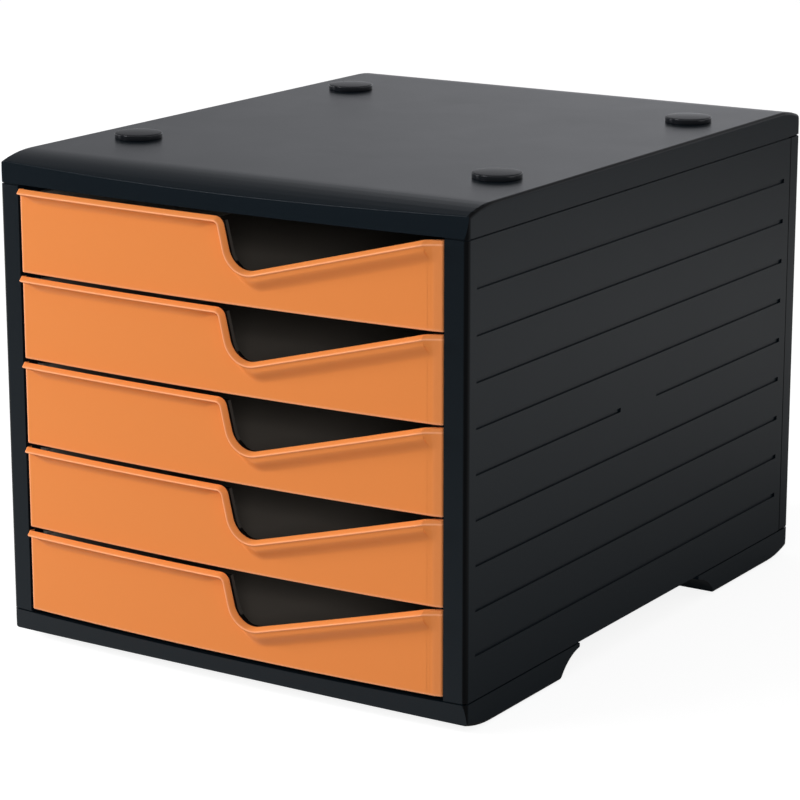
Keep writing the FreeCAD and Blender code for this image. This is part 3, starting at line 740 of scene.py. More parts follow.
# ------------------------------------------------------------------ housing
@dataclass
class Housing:
    """Cover, base, side panels, back panel and what is fixed to them.

    Args:
        shop: Where the finished pieces go.
        rounding: How the mouldings' edges are rounded and their crevices and corners painted with
            shade.
        mouldings: The CAD nodes of the mouldings.
        cap_turn: Rounding of a stacking cap's upper rim.
        cap_foot_turn: Rounding of its lower rim.
        cap_dome: Rise of its top.
        dome_rings: Where its top has rings of vertices, as shares of its radius.
        cap_steps: Faces round it.
        stem_share: Radius of its stem, as a share of its own.
        barb_share: Radius of the stem's barb, as a share of the stem's.
        barb_tip: Radius of the barb's tip, as a share of the barb's.
        barb_levels: Heights over the tip at which the barb is full, narrows and ends.
        seat_inset: Distance from the rim to the edge of the cap's flat underside.
        rim_slope: Upright part of a normal below which a face counts as the glossy rim.
        pad_turn: Rounding of a foot pad's lower rim.
        pad_rings: Middles of the rings in its tread, as shares of its radius.
        ring_half: Half the width of a ring's floor.
        ring_depth: Depth of a ring.
        ring_flank: Width of a ring's flank.
        pad_steps: Faces round a pad.
        body: The CAD body that all of it belongs to.
    """

    shop: Workshop
    rounding: EdgeRounding = EdgeRounding()
    mouldings: tuple[str, ...] = ("top_cover", "base_frame", "side_panel_left",
                                  "side_panel_right", "back_panel")
    cap_turn: float = 0.45 * MM
    cap_foot_turn: float = 0.25 * MM
    cap_dome: float = 0.35 * MM
    dome_rings: tuple[float, ...] = (0.8, 0.6, 0.4, 0.2)
    cap_steps: int = 72
    stem_share: float = 0.55
    barb_share: float = 1.11
    barb_tip: float = 0.9
    barb_levels: tuple[float, float, float] = (0.6 * MM, 1.0 * MM, 1.3 * MM)
    seat_inset: float = 0.3 * MM
    rim_slope: float = 0.8
    pad_turn: float = 0.5 * MM
    pad_rings: tuple[float, ...] = (0.2, 0.4, 0.6, 0.8)
    ring_half: float = 0.3 * MM
    ring_depth: float = 0.3 * MM
    ring_flank: float = 0.2 * MM
    pad_steps: int = 48
    body: str = "housing"

    def build(self) -> None:
        """Builds every piece of the housing."""
        for node in self.mouldings:
            self.shop.add(self.rounding.apply(node), self.body, Slot.HOUSING, node)
        for end, side in CORNERS:
            self._cap(f"stacking_cap_{end}_{side}")
            self._pad(f"foot_pad_{end}_{side}")
        screws = ScrewPattern().place(*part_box("base_screws"))
        self.shop.add(screws, self.body, Slot.SCREW, "base_screws")

    @staticmethod
    def _round_place(node: str) -> tuple[Vector, float, float, float]:
        """Takes the place of a round CAD node.

        Args:
            node: The CAD node.

        Returns:
            The foot of its axis, its radius, and its lowest and highest level.
        """
        low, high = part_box(node)
        centre = Vector(((low.x + high.x) / 2, (low.y + high.y) / 2, 0.0))
        return centre, (high.x - low.x) / 2, low.z, high.z

    def _cap(self, node: str) -> None:
        """Builds one glossy stacking cap with its stem.

        Args:
            node: The CAD node that it stands for.
        """
        centre, radius, low, high = self._round_place(node)
        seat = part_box("top_cover")[1].z
        stem = radius * self.stem_share
        barb = stem * self.barb_share
        full, narrow, end = (low + rise for rise in self.barb_levels)
        profile = [(0.0, low), (barb * self.barb_tip, low), (barb, full), (barb, narrow),
                   (stem, end), (stem, seat), (radius - self.seat_inset, seat)]
        profile += rounded_corner(radius, seat, self.cap_foot_turn, upper=False, steps=2)[1:]
        profile += rounded_corner(radius, high - self.cap_dome, self.cap_turn, upper=True)
        for share in self.dome_rings:
            profile.append((radius * share, high - self.cap_dome * share * share))
        profile.append((0.0, high))
        disc = lathe(f"{node}_disc", centre, profile, self.cap_steps)
        # The rim takes a glossy coat and a slightly lighter painted highlight tone.
        glossy = [float(abs(face.normal.z) < self.rim_slope) for face in disc.polygons]
        mark_painted_light_and_gloss(disc, "FACE", glossy)
        self.shop.add(disc, self.body, Slot.CAP, node)

    def _pad(self, node: str) -> None:
        """Builds one rubber foot pad with a ringed tread.

        Args:
            node: The CAD node that it stands for.
        """
        centre, radius, low, high = self._round_place(node)
        floor, mouth = low + self.ring_depth, self.ring_half + self.ring_flank
        profile = [(0.0, low)]
        for share in self.pad_rings:
            middle = radius * share
            profile += [(middle - mouth, low), (middle - self.ring_half, floor),
                        (middle + self.ring_half, floor), (middle + mouth, low)]
        profile += rounded_corner(radius, low, self.pad_turn, upper=False)
        profile += [(radius, high), (0.0, high)]
        rubber = lathe(f"{node}_rubber", centre, profile, self.pad_steps)
        self.shop.add(rubber, self.body, Slot.PAD, node)


@dataclass(frozen=True)
class ScrewPattern:
    """Pan-head screws at the corners of a rectangle.

    Args:
        head_radius: Radius of the head.
        head_height: Height of the head.
        head_rings: Where the head has rings of vertices, as shares of its radius.
        head_dome: Rise of the head's dome, as a share of its height.
        head_rim: Level where the rim's rounding starts, as a share of the head's height.
        head_turn: Radius of that rounding, as a share of the head's height.
        shank_radius: Radius of the shank.
        turns: Turns of the thread.
        thread_steps: Where a turn leaves the crest and meets the root, as shares of the pitch.
        thread_root: Radius of the thread's root, as a share of the shank's.
        point: Length of the plain point.
        tip_share: Radius of the blunt tip, as a share of the shank's.
        tip_height: Height of that tip.
        steps: Faces round a screw.
        recess_width: Width of a slot of the cross recess.
        recess_reach: How far the recess reaches, as a share of the head's radius.
        recess_depth: Depth of the cross recess.
        recess_taper: Size of the recess's far end, as a share of its mouth.
    """

    head_radius: float = 3.6 * MM
    head_height: float = 2.2 * MM
    head_rings: tuple[float, ...] = (0.3, 0.6)
    head_dome: float = 0.12
    head_rim: float = 0.15
    head_turn: float = 0.4
    shank_radius: float = 1.7 * MM
    turns: int = 12
    thread_steps: tuple[float, float] = (0.5, 0.75)
    thread_root: float = 0.8
    point: float = 1.5 * MM
    tip_share: float = 0.3
    tip_height: float = 0.2 * MM
    steps: int = 24
    recess_width: float = 0.9 * MM
    recess_reach: float = 0.62
    recess_depth: float = 1.1 * MM
    recess_taper: float = 0.6

    def _screw(self, length: float) -> bpy.types.Mesh:
        """One screw, head down, with its lowest point at the origin.

        Args:
            length: Overall length.

        Returns:
            The screw's mesh.
        """
        profile = [(0.0, 0.0)]
        profile += [(self.head_radius * share, self.head_height * self.head_dome * share ** 2)
                    for share in self.head_rings]
        profile += rounded_corner(self.head_radius, self.head_height * self.head_rim,
                                  self.head_height * self.head_turn, upper=False)
        profile += [(self.head_radius, self.head_height), (self.shank_radius, self.head_height)]
        pitch = (length - self.head_height - self.point) / self.turns
        crest_end, root = self.thread_steps
        for i in range(self.turns):
            foot = self.head_height + pitch * i
            profile += [(self.shank_radius, foot + pitch * crest_end),
                        (self.shank_radius * self.thread_root, foot + pitch * root),
                        (self.shank_radius, foot + pitch)]
        profile += [(self.shank_radius * self.tip_share, length - self.tip_height),
                    (0.0, length)]
        return lathe("screw", Vector(), profile, self.steps)

    def _recess(self) -> bpy.types.Mesh:
        """Builds the cross that is cut from the head.

        Returns:
            The cross as a closed mesh.
        """
        cross = bmesh.new()
        reach = self.head_radius * self.recess_reach
        half = self.recess_width / 2
        outline = [(reach, -half), (reach, half), (half, half), (half, reach), (-half, reach),
                   (-half, half), (-reach, half), (-reach, -half), (-half, -half),
                   (-half, -reach), (half, -reach), (half, -half)]
        face = cross.faces.new([cross.verts.new((x, y, -self.recess_depth)) for x, y in outline])
        raised = bmesh.ops.extrude_face_region(cross, geom=[face])
        for part in raised["geom"]:
            if isinstance(part, bmesh.types.BMVert):
                part.co = Vector((part.co.x * self.recess_taper, part.co.y * self.recess_taper,
                                  self.recess_depth))
        bmesh.ops.recalc_face_normals(cross, faces=cross.faces)
        return to_mesh(cross, "recess", smooth=False)

    def _tree(self) -> bpy.types.NodeTree:
        """Cuts the recess and sets a screw at each corner of a rectangle, by geometry nodes.

        Returns:
            The node tree, with the recess, the rectangle's sides and the finish as inputs.
        """
        tree, start, end = new_group(
            "screw_pattern", "GeometryNodeTree",
            {"Geometry": ("NodeSocketGeometry", None), "Recess": ("NodeSocketObject", None),
             "Width": ("NodeSocketFloat", 0.2), "Depth": ("NodeSocketFloat", 0.2),
             "Finish": ("NodeSocketMaterial", None)},
            {"Geometry": "NodeSocketGeometry"})
        corners = tree.add("GeometryNodeMeshGrid", in_Vertices_X=2, in_Vertices_Y=2,
                           in_Size_X=start.outputs["Width"], in_Size_Y=start.outputs["Depth"])
        cross = tree.add("GeometryNodeObjectInfo", in_Object=start.outputs["Recess"])
        cut = tree.add("GeometryNodeMeshBoolean", operation="DIFFERENCE",
                       in_Mesh_1=start.outputs["Geometry"], in_Mesh_2=cross.outputs["Geometry"])
        put = tree.add("GeometryNodeInstanceOnPoints", in_Points=corners.outputs["Mesh"],
                       in_Instance=cut.outputs["Mesh"])
        real = tree.add("GeometryNodeRealizeInstances", in_Geometry=put.outputs["Instances"])
        paint = tree.add("GeometryNodeSetMaterial", in_Geometry=real.outputs["Geometry"],
                         in_Material=start.outputs["Finish"])
        tree.feed(end.inputs["Geometry"], paint.outputs["Geometry"])
        return tree.tree

    def place(self, low: Vector, high: Vector) -> bpy.types.Mesh:
        """Builds the screws inside a box.

        Args:
            low: Lowest corner of the box that holds them.
            high: Highest corner of that box.

        Returns:
            One mesh with every screw, in place.
        """
        recess = set_out("recess", self._recess())
        screw = set_out("screws", self._screw(high.z - low.z))
        pattern = screw.modifiers.new("pattern", "NODES")
        pattern.node_group = self._tree()
        values = {"Recess": recess, "Width": high.x - low.x - 2 * self.head_radius,
                  "Depth": high.y - low.y - 2 * self.head_radius}
        for socket in pattern.node_group.interface.items_tree:
            if socket.name in values:
                pattern[socket.identifier] = values[socket.name]
        mesh = evaluated(screw, "base_screws_set")
        cutter = recess.data
        bpy.data.objects.remove(recess)
        bpy.data.meshes.remove(cutter)
        centre = (low + high) / 2
        mesh.transform(Matrix.Translation((centre.x, centre.y, low.z)))
        return mesh


# ------------------------------------------------------------------ drawers
class EdgePoint(NamedTuple):
    """A place on a front's upper edge, seen from the front.

    Args:
        x: Place across the box.
        z: Height above the front's lower edge.
        fall_x: Unit direction into the plate, across.
        fall_z: Unit direction into the plate, upright.
        cove: How far the cove under the lip reaches into the plate.
        flare: 0 for a tight cove, 1 for a long flare.
    """

    x: float
    z: float
    fall_x: float
    fall_z: float
    cove: float
    flare: float


@dataclass
class DrawerFront:
    """A bowed front plate with a lip that dips round a finger cut-out, with painted highlights.

    All lengths are in metres, across the box from its middle and up from the plate's
    lower edge. A pair called a stretch holds where something starts and how far it goes on.

    Args:
        shop: Where the finished piece goes.
        number: The drawer's number, from the top.
        box_width: Width over which the bow is measured.
        bow: Rise of the bowed face in the middle.
        wall: Thickness of the plate.
        lip: How far the lip's crown stands out.
        lip_top: Distance from the upper edge to the crown.
        lip_fall: How far the upper edge lies behind the crown.
        lip_band: Distance from the upper edge to the lip's foot.
        lip_tuck: How far the foot lies behind the crown.
        lip_start: Bare stretch before the lip's left end.
        lip_end: Length over which the left end rises.
        lip_end_turn: Rounding of its top.
        lip_end_tuck: How far its foot is drawn back.
        lip_end_reach: Length over which that ends.
        lip_fade: Stretch at the right end over which the lip runs out.
        lip_rise: How far the lip's top stands over the CAD plate.
        notch_top: Where the cut-out starts at the upper edge.
        notch_foot: Where it is deepest.
        notch_height: Height of the edge there.
        notch_end_inset: Distance of its end from the right side edge.
        top_turn: Rounding where it starts.
        foot_turn: Rounding where it is deepest.
        end_turn: Rounding where it ends.
        cove: Reach of the cove under the lip.
        corner_cove: Its reach beside the start of the cut-out.
        corner_stretch: Stretch over which it grows from there.
        left_cove: Its reach at the left end.
        left_reach: Length over which it grows from there.
        flare: Its reach where it is a flare.
        flare_stretch: Stretch after the deepest point over which it becomes one.
        flare_slope: Share of its height that a flare loses evenly over its reach.
        flare_drop: Stretch over which it drops to the plate, as shares of its reach.
        edge_turn: Rounding of the side and lower edges.
        border: Width of the border along the right edge.
        border_fall: How far it falls back.
        border_line: Width of the painted highlight line along it.
        border_highlight: Painted highlight tone of the border.
        side_highlights: Painted highlight tones of the left and right edge's rounding.
        lower_highlight: Painted highlight tone of the lower edge's rounding.
        start_highlight: Painted highlight tone where a rounding starts.
        back_highlight: Painted highlight tone where the plate closes at its back.
        feet_from: Where the columns of the mesh start to be spread evenly at the lower edge.
        feet_to: Where that ends.
        feet_rise: How much a rise of the upper edge counts there, against its width.
        clip_width: Width of a snap hook.
        clip_wall: Its thickness.
        clip_height: Its height above the lower edge.
        clip_root: How deep it is rooted in the plate.
        clip_reach: How far it reaches to the rear.
        clip_nose: Depth and height of the bevel below its tip.
        clip_hook: Height of its barb.
        barb_insets: Distances from its tip to where the barb starts, ends and meets the hook.
        clip_insets: Distances of the hooks from the side edges.
        column_gap: Largest width of a face along the upper edge.
        end_columns: Distances from a side edge at which the mesh has a column.
        turn_steps: Stretches along the three roundings of the upper edge.
        cove_steps: Rows of faces in the cove.
        plate_rows: Rows of faces below it.
        turn_rings: Rings of the lower edge's rounding, as shares of its radius.
        sharp_angle: Angle in degrees from which an edge is shaded sharp.
    """

    shop: Workshop
    number: int
    box_width: float
    bow: float = 5.4 * MM
    wall: float = 2.9 * MM
    lip: float = 4.2 * MM
    lip_top: float = 2.1 * MM
    lip_fall: float = 2.6 * MM
    lip_band: float = 2.75 * MM
    lip_tuck: float = 0.6 * MM
    lip_start: float = 0.2 * MM
    lip_end: float = 1.9 * MM
    lip_end_turn: float = 1.3 * MM
    lip_end_tuck: float = 1.5 * MM
    lip_end_reach: float = 3.0 * MM
    lip_fade: tuple[float, float] = (1.2 * MM, 9.0 * MM)
    lip_rise: float = 0.8 * MM
    notch_top: float = 4.9 * MM
    notch_foot: float = 11.4 * MM
    notch_height: float = 15.6 * MM
    notch_end_inset: float = 8.1 * MM
    top_turn: float = 5.2 * MM
    foot_turn: float = 12.0 * MM
    end_turn: float = 5.0 * MM
    cove: float = 8.0 * MM
    corner_cove: float = 4.6 * MM
    corner_stretch: tuple[float, float] = (4.0 * MM, 12.0 * MM)
    left_cove: float = 4.1 * MM
    left_reach: float = 14.0 * MM
    flare: float = 11.5 * MM
    flare_stretch: tuple[float, float] = (3.0 * MM, 10.0 * MM)
    flare_slope: float = 0.2
    flare_drop: tuple[float, float] = (0.20, 0.76)
    edge_turn: float = 0.8 * MM
    border: float = 4.0 * MM
    border_fall: float = 0.7 * MM
    border_line: float = 0.3 * MM
    border_highlight: float = 0.10
    side_highlights: tuple[float, float] = (0.8, 0.2)
    lower_highlight: float = 1.0
    start_highlight: float = 0.55
    back_highlight: float = 0.3
    feet_from: float = -16.0 * MM
    feet_to: float = 52.0 * MM
    feet_rise: float = 0.5
    clip_width: float = 10.0 * MM
    clip_wall: float = 2.0 * MM
    clip_height: float = 9.0 * MM
    clip_root: float = 0.5 * MM
    clip_reach: float = 7.8 * MM
    clip_nose: tuple[float, float] = (0.4 * MM, 0.5 * MM)
    clip_hook: float = 1.2 * MM
    barb_insets: tuple[float, float, float] = (0.9 * MM, 1.4 * MM, 1.6 * MM)
    clip_insets: tuple[float, float] = (29.0 * MM, 89.0 * MM)
    column_gap: float = 4.5 * MM
    end_columns: tuple[float, ...] = tuple(step * MM for step in (
        0.0, 0.05, 0.2, 0.32, 0.45, 0.6, 0.8, 1.1, 1.5, 1.9, 2.4, 3.1, 4.0, 5.0))
    turn_steps: tuple[int, int, int] = (12, 20, 6)
    cove_steps: int = 18
    plate_rows: int = 6
    turn_rings: tuple[float, ...] = (0.55, 0.25, 0.06, 0.0)
    sharp_angle: float = 50.0

    def __post_init__(self) -> None:
        """Takes the plate's place from its CAD node."""
        low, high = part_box(self.node)
        self.bottom = low.z
        self.half = (high.x - low.x) / 2
        self.height = high.z - low.z + self.lip_rise
        self.apex = low.y + self.lip
        self.bow_radius = (self.box_width ** 2 / 4 + self.bow ** 2) / (2 * self.bow)

    @property
    def node(self) -> str:
        """Name of the CAD node that the front stands for."""
        return f"drawer_front_{self.number}"

    def face_y(self, x: float) -> float:
        """How far back the bowed face lies at a place across the box."""
        return self.apex + self.bow_radius - math.sqrt(self.bow_radius ** 2 - x * x)

    def _turn(self, before: Vector, corner: Vector, after: Vector, radius: float,
              steps: int) -> list[tuple[Vector, Vector]]:
        """Rounds one corner of the upper edge.

        Args:
            before: Point before the corner.
            corner: The corner.
            after: Point after the corner.
            radius: Radius of the rounding.
            steps: Stretches along it.

        Returns:
            Pairs of a point and the unit direction into the plate.
        """
        into, out = (corner - before).normalized(), (after - corner).normalized()
        angle = into.angle(out)
        reach = radius * math.tan(angle / 2)
        sign = 1.0 if into.x * out.y - into.y * out.x > 0 else -1.0
        side = Vector((-into.y, into.x)) * sign
        centre = corner - into * reach + side * radius
        points = []
        for i in range(steps + 1):
            spin = sign * angle * i / steps
            spoke = Matrix.Rotation(spin, 2) @ (-side)
            points.append((centre + spoke * radius, spoke * sign))
        return points

    def _edge(self) -> list[EdgePoint]:
        """Walks along the upper edge from left to right.

        Returns:
            The edge's points.
        """
        top = self.height
        shoulder = Vector((self.notch_top, top))
        foot = Vector((self.notch_foot, self.notch_height))
        end = Vector((self.half - self.notch_end_inset, top))
        left, right = Vector((-self.half, top)), Vector((self.half, top))
        corners = ((left, shoulder, foot), (shoulder, foot, end), (foot, end, right))
        radii = (self.top_turn, self.foot_turn, self.end_turn)
        turns = [self._turn(*corner, radius, steps)
                 for corner, radius, steps in zip(corners, radii, self.turn_steps)]
        down = Vector((0.0, -1.0))
        walk = [(Vector((-self.half + gap, top)), down) for gap in self.end_columns]
        last = [(Vector((self.half - gap, top)), down) for gap in self.end_columns[::-1]]
        for turn in turns:
            walk += self._straight(walk[-1], turn[0]) + turn
        walk += self._straight(walk[-1], last[0]) + last
        points = []
        for place, fall in walk:
            cove, flare = self._cove_at(place)
            points.append(EdgePoint(place.x, place.y, fall.x, fall.y, cove, flare))
        return points

    def _straight(self, start: tuple[Vector, Vector],
                  end: tuple[Vector, Vector]) -> list[tuple[Vector, Vector]]:
        """Fills the edge between two of its points.

        Args:
            start: A point and the unit direction into the plate.
            end: The next ones.

        Returns:
            Such pairs between the two, with the direction turned step by step.
        """
        length = (end[0] - start[0]).length
        count = max(int(length / self.column_gap), 1)
        between = []
        for i in range(1, count):
            share = i / count
            fall = start[1].lerp(end[1], share).normalized()
            between.append((start[0].lerp(end[0], share), fall))
        return between

    def _cove_at(self, place: Vector) -> tuple[float, float]:
        """Finds the cove under one point of the edge.

        Args:
            place: The point.

        Returns:
            How far the cove reaches, and 0 for a tight one to 1 for a long flare.
        """
        start, reach = self.flare_stretch
        flare = blend(0.0, 1.0, (place.x - self.notch_foot - start) / reach)
        start, reach = self.corner_stretch
        near_corner = blend(1.0, 0.0, (abs(place.x - self.notch_top) - start) / reach)
        near_left = blend(1.0, 0.0, (place.x + self.half) / self.left_reach)
        tight = self.cove + (self.corner_cove - self.cove) * near_corner
        tight += (self.left_cove - tight) * near_left
        return tight + (self.flare - tight) * flare, flare

    def _lip_share(self, x: float) -> float:
        """Finds how much of the lip is left, which is rounded off at both ends.

        Args:
            x: Place across the box.

        Returns:
            0 for none, 1 for the whole lip.
        """
        left, right = x + self.half - self.lip_start, self.half - x
        share = 1.0
        if left < self.lip_end:
            share = math.sqrt(1.0 - (1.0 - max(left, 0.0) / self.lip_end) ** 2)
        start, reach = self.lip_fade
        return share * blend(0.0, 1.0, (right - start) / reach)

    def _end_fall(self, x: float) -> float:
        """How far the lip's top is rounded down at its left end."""
        short = max(1.0 - (x + self.half) / self.lip_end_turn, 0.0)
        return self.lip_end_turn * (1.0 - math.sqrt(1.0 - min(short, 1.0) ** 2))

    def _lip_rings(self) -> list[tuple[float, float, float]]:
        """Lists the rings of the lip, from the upper edge over the crown to its foot.

        Returns:
            Distance from the edge, level against the crown and painted highlight tone of each ring.
        """
        top, fall, tuck = self.lip_top, self.lip_fall, self.lip_tuck
        # The last value of each ring is its painted highlight tone, full along the crown.
        return [
            (0.0, -fall, 0.1), (0.02 * top, -0.91 * fall, 0.05),
            (0.09 * top, -0.80 * fall, 0.0), (0.30 * top, -0.58 * fall, 0.0),
            (0.52 * top, -0.37 * fall, 0.0), (0.70 * top, -0.20 * fall, 0.1),
            (0.80 * top, -0.11 * fall, 0.35), (0.88 * top, -0.05 * fall, 0.8),
            (0.94 * top, -0.015 * fall, 1.0), (top, 0.0, 1.0),
            (top + 0.2 * MM, -0.08 * tuck, 1.0), (top + 0.4 * MM, -0.35 * tuck, 0.5),
            (self.lip_band, -tuck, 0.1),
        ]

    def _cove_level(self, share: float, flare: float) -> float:
        """Finds the height of the cove between lip and plate.

        Args:
            share: Place in the cove, 0 at the lip and 1 at the plate.
            flare: 0 for a tight cove, 1 for a long flare.

        Returns:
            The height as a share of that at the lip.
        """
        start, reach = self.flare_drop
        tight = (1.0 - share) ** 2
        swept = (1.0 - self.flare_slope * share) * (1.0 - blend(0.0, 1.0, (share - start) / reach))
        return tight + (swept - tight) * flare

    def _border_level(self, x: float) -> float:
        """How far the face falls back along its right edge."""
        return -self.border_fall * max((x - self.half + self.border) / self.border, 0.0)

    def _side_drop(self, x: float) -> tuple[float, float]:
        """Finds the rounding of the side edges.

        Args:
            x: Place across the box.

        Returns:
            How far the face falls back there, and its painted highlight tone.
        """
        gap = self.half - abs(x)
        # A thin painted highlight line runs along the right border.
        if x > 0.0 and gap > self.edge_turn:
            return 0.0, blend(self.border_highlight, 0.0, (gap - self.border) / self.border_line)
        if gap >= self.edge_turn:
            return 0.0, blend(self.start_highlight, 0.0, (gap - self.edge_turn) / self.edge_turn)
        short = (self.edge_turn - gap) / self.edge_turn
        tone = self.side_highlights[int(x >= 0.0)]
        return self.edge_turn * (1.0 - math.sqrt(1.0 - short * short)), tone

    def _column(self, point: EdgePoint,
                foot_x: float) -> list[tuple[float, float, float, float, float]]:
        """One column of the face, from the upper edge to the lower.

        Args:
            point: The column's place on the upper edge.
            foot_x: Where it meets the lower edge.

        Returns:
            Place across, height, level before the bowed face, level of the back and painted
            highlight tone of each vertex.
        """
        share = self._lip_share(point.x)
        crown = self.lip * share
        sunk = self._end_fall(point.x)
        tucked = blend(self.lip_end_tuck, 0.0, (point.x + self.half) / self.lip_end_reach)
        column = []
        for gap, fall, tone in self._lip_rings():
            past = max(gap - self.lip_top, 0.0) / (self.lip_band - self.lip_top)
            fall -= tucked * past * past
            level = crown + fall * share - (self.wall * (1.0 - share) if gap == 0.0 else 0.0)
            height = point.z + point.fall_z * gap - sunk * (1.0 - gap / self.lip_band)
            column.append((point.x + point.fall_x * gap, height, level, crown - self.wall, tone))
        for i in range(1, self.cove_steps + 1):
            part = i / self.cove_steps
            gap = self.lip_band + (point.cove - self.lip_band) * part
            level = (self.lip - self.lip_tuck - tucked) * share
            level *= self._cove_level(part, point.flare)
            column.append((point.x + point.fall_x * gap, point.z + point.fall_z * gap, level,
                           max(level, 0.0) - self.wall, 0.0))
        start_x, start_z = column[-1][0], column[-1][1]
        turn = self.edge_turn
        rows = self.plate_rows
        lower = [(turn + (start_z - turn) * (1.0 - i / rows), 0.0, 0.0) for i in range(1, rows)]
        lower += [(2.0 * turn, 0.0, 0.0), (turn, 0.0, self.start_highlight)]
        for part in self.turn_rings:
            short = 1.0 - part
            lower.append((turn * part, -turn * (1.0 - math.sqrt(1.0 - short * short)),
                          self.lower_highlight))
        lower.append((0.0, -self.wall, self.back_highlight))
        for z, level, tone in lower:
            share_down = (start_z - z) / start_z
            column.append((start_x + (foot_x - start_x) * share_down, z, level, -self.wall, tone))
        return column

    def _feet(self, edge: list[EdgePoint]) -> list[float]:
        """Finds where each column meets the lower edge.

        Args:
            edge: The columns' places on the upper edge.

        Returns:
            A place across the box for each column.
        """
        inner = [i for i, point in enumerate(edge) if self.feet_from < point.x < self.feet_to]
        start, end = inner[0] - 1, inner[-1] + 1
        walked = [0.0]
        for before, after in zip(edge[start:end + 1], edge[start + 1:end + 1]):
            rise = (after.z - before.z) * self.feet_rise
            walked.append(walked[-1] + math.hypot(after.x - before.x, rise))
        feet = [point.x + point.fall_x * point.cove for point in edge]
        left, right = feet[start], feet[end]
        for i, length in zip(range(start, end + 1), walked):
            feet[i] = left + (right - left) * length / walked[-1]
        return [min(max(foot, -self.half), self.half) for foot in feet]

    def _place(self, x: float, z: float, level: float) -> Vector:
        """A point of the front from its place across, height and level before the bowed face."""
        return Vector((x, self.face_y(x) - level, self.bottom + z))

    def _plate(self, shape: bmesh.types.BMesh, tones: dict[bmesh.types.BMVert, float]) -> None:
        """Builds the plate and lip as one closed shell.

        Args:
            shape: The mesh to add to.
            tones: Painted highlight tone by vertex, filled in here.
        """
        edge = self._edge()
        columns = []
        for point, foot in zip(edge, self._feet(edge)):
            columns.append(self._column(point, foot))
        rows = len(columns[0])
        fronts, backs = [], []
        for i, column in enumerate(columns):
            fore, aft = [], []
            for j, (x, z, level, behind, tone) in enumerate(column):
                x = min(max(x, -self.half), self.half)
                closing = j in (0, rows - 1)
                drop, side_highlight = (0.0, self.back_highlight) if closing else self._side_drop(x)
                faced = level - drop + self._border_level(x) * (not closing)
                vert = shape.verts.new(self._place(x, z, max(faced, behind)))
                tones[vert] = max(tone, side_highlight)
                fore.append(vert)
                if closing:
                    aft.append(vert)
                    continue
                back = shape.verts.new(self._place(x, z, behind))
                tones[back] = 0.0
                aft.append(back)
            fronts.append(fore)
            backs.append(aft)
        for i in range(len(columns) - 1):
            for j in range(rows - 1):
                for grid in (fronts, backs):
                    corners = [grid[i][j], grid[i + 1][j], grid[i + 1][j + 1], grid[i][j + 1]]
                    shape.faces.new(corners)
        for i in (0, len(columns) - 1):
            for j in range(rows - 1):
                corners = [fronts[i][j], fronts[i][j + 1], backs[i][j + 1], backs[i][j]]
                shape.faces.new(list(dict.fromkeys(corners)))

    def _clip(self, shape: bmesh.types.BMesh, tones: dict[bmesh.types.BMVert, float],
              x: float) -> None:
        """Adds one snap hook behind the plate.

        Args:
            shape: The mesh to add to.
            tones: Painted highlight tone by vertex.
            x: The hook's middle across the box.
        """
        root = self.face_y(x) + self.wall - self.clip_root
        tip = self.face_y(x) + self.clip_reach
        nose_depth, nose_height = self.clip_nose
        barb_start, barb_end, barb_foot = (tip - inset for inset in self.barb_insets)
        low = self.bottom + self.clip_height
        high = low + self.clip_wall
        barb = high + self.clip_hook
        outline = [(root, low), (tip - nose_depth, low), (tip, low + nose_height), (tip, high),
                   (barb_start, barb), (barb_end, barb), (barb_foot, high), (root, high)]
        ends = []
        for side in (-0.5, 0.5):
            ends.append([shape.verts.new((x + side * self.clip_width, y, z)) for y, z in outline])
        for vert in ends[0] + ends[1]:
            tones[vert] = 0.0
        shape.faces.new(ends[0])
        shape.faces.new(ends[1][::-1])
        for i in range(len(outline)):
            j = (i + 1) % len(outline)
            shape.faces.new([ends[0][i], ends[1][i], ends[1][j], ends[0][j]])

    def build(self) -> None:
        """Builds the front and puts it in place of its CAD node."""
        shape = bmesh.new()
        tones: dict[bmesh.types.BMVert, float] = {}
        self._plate(shape, tones)
        for inset in self.clip_insets:
            for side in (-1.0, 1.0):
                self._clip(shape, tones, side * (self.half - inset))
        shape.verts.index_update()
        values = [0.0] * len(shape.verts)
        for vert, tone in tones.items():
            values[vert.index] = tone
        bmesh.ops.recalc_face_normals(shape, faces=shape.faces)
        mesh = to_mesh(shape, f"{self.node}_plate")
        mesh.set_sharp_from_angle(angle=math.radians(self.sharp_angle))
        # Paints the highlight along the lip's crown and the edge roundings.
        mark_painted_light_and_gloss(mesh, "POINT", values)
        self.shop.add(mesh, f"drawer_{self.number}", Slot.FRONT, self.node)


@dataclass
class DrawerTray:
    """The warm grey tray behind a front.

    Args:
        shop: Where the finished piece goes.
        number: The drawer's number, from the top.
        rounding: How its edges are rounded and its crevices painted with shade.
        front_wall: Depth of the tray's front wall and what is on it.
        top_slope: Upright part of a normal above which a face counts as that wall's top.
        face_slope: Forward part of a normal above which it counts as its face.
        hidden_shade: Share of painted shade on that wall's top and face, which the front hides.
        wall_shade: Share of painted shade on its other faces.
    """

    shop: Workshop
    number: int
    rounding: EdgeRounding = EdgeRounding(radius=0.3 * MM)
    front_wall: float = 4.5 * MM
    top_slope: float = 0.6
    face_slope: float = 0.5
    hidden_shade: float = 1.0
    wall_shade: float = 0.75

    def build(self) -> None:
        """Rounds the tray's edges, paints shade on its front wall and puts it in place."""
        node = f"drawer_tray_{self.number}"
        mesh = self.rounding.apply(node)
        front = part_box(node)[0].y + self.front_wall
        tones = mesh.attributes["edge"].data
        # The front wall's faces take painted shade, fullest on its top and face.
        for face in mesh.polygons:
            if face.center.y < front:
                hidden = face.normal.z > self.top_slope or face.normal.y < -self.face_slope
                tones[face.index].value = self.hidden_shade if hidden else self.wall_shade
        self.shop.add(mesh, f"drawer_{self.number}", Slot.TRAY, node)


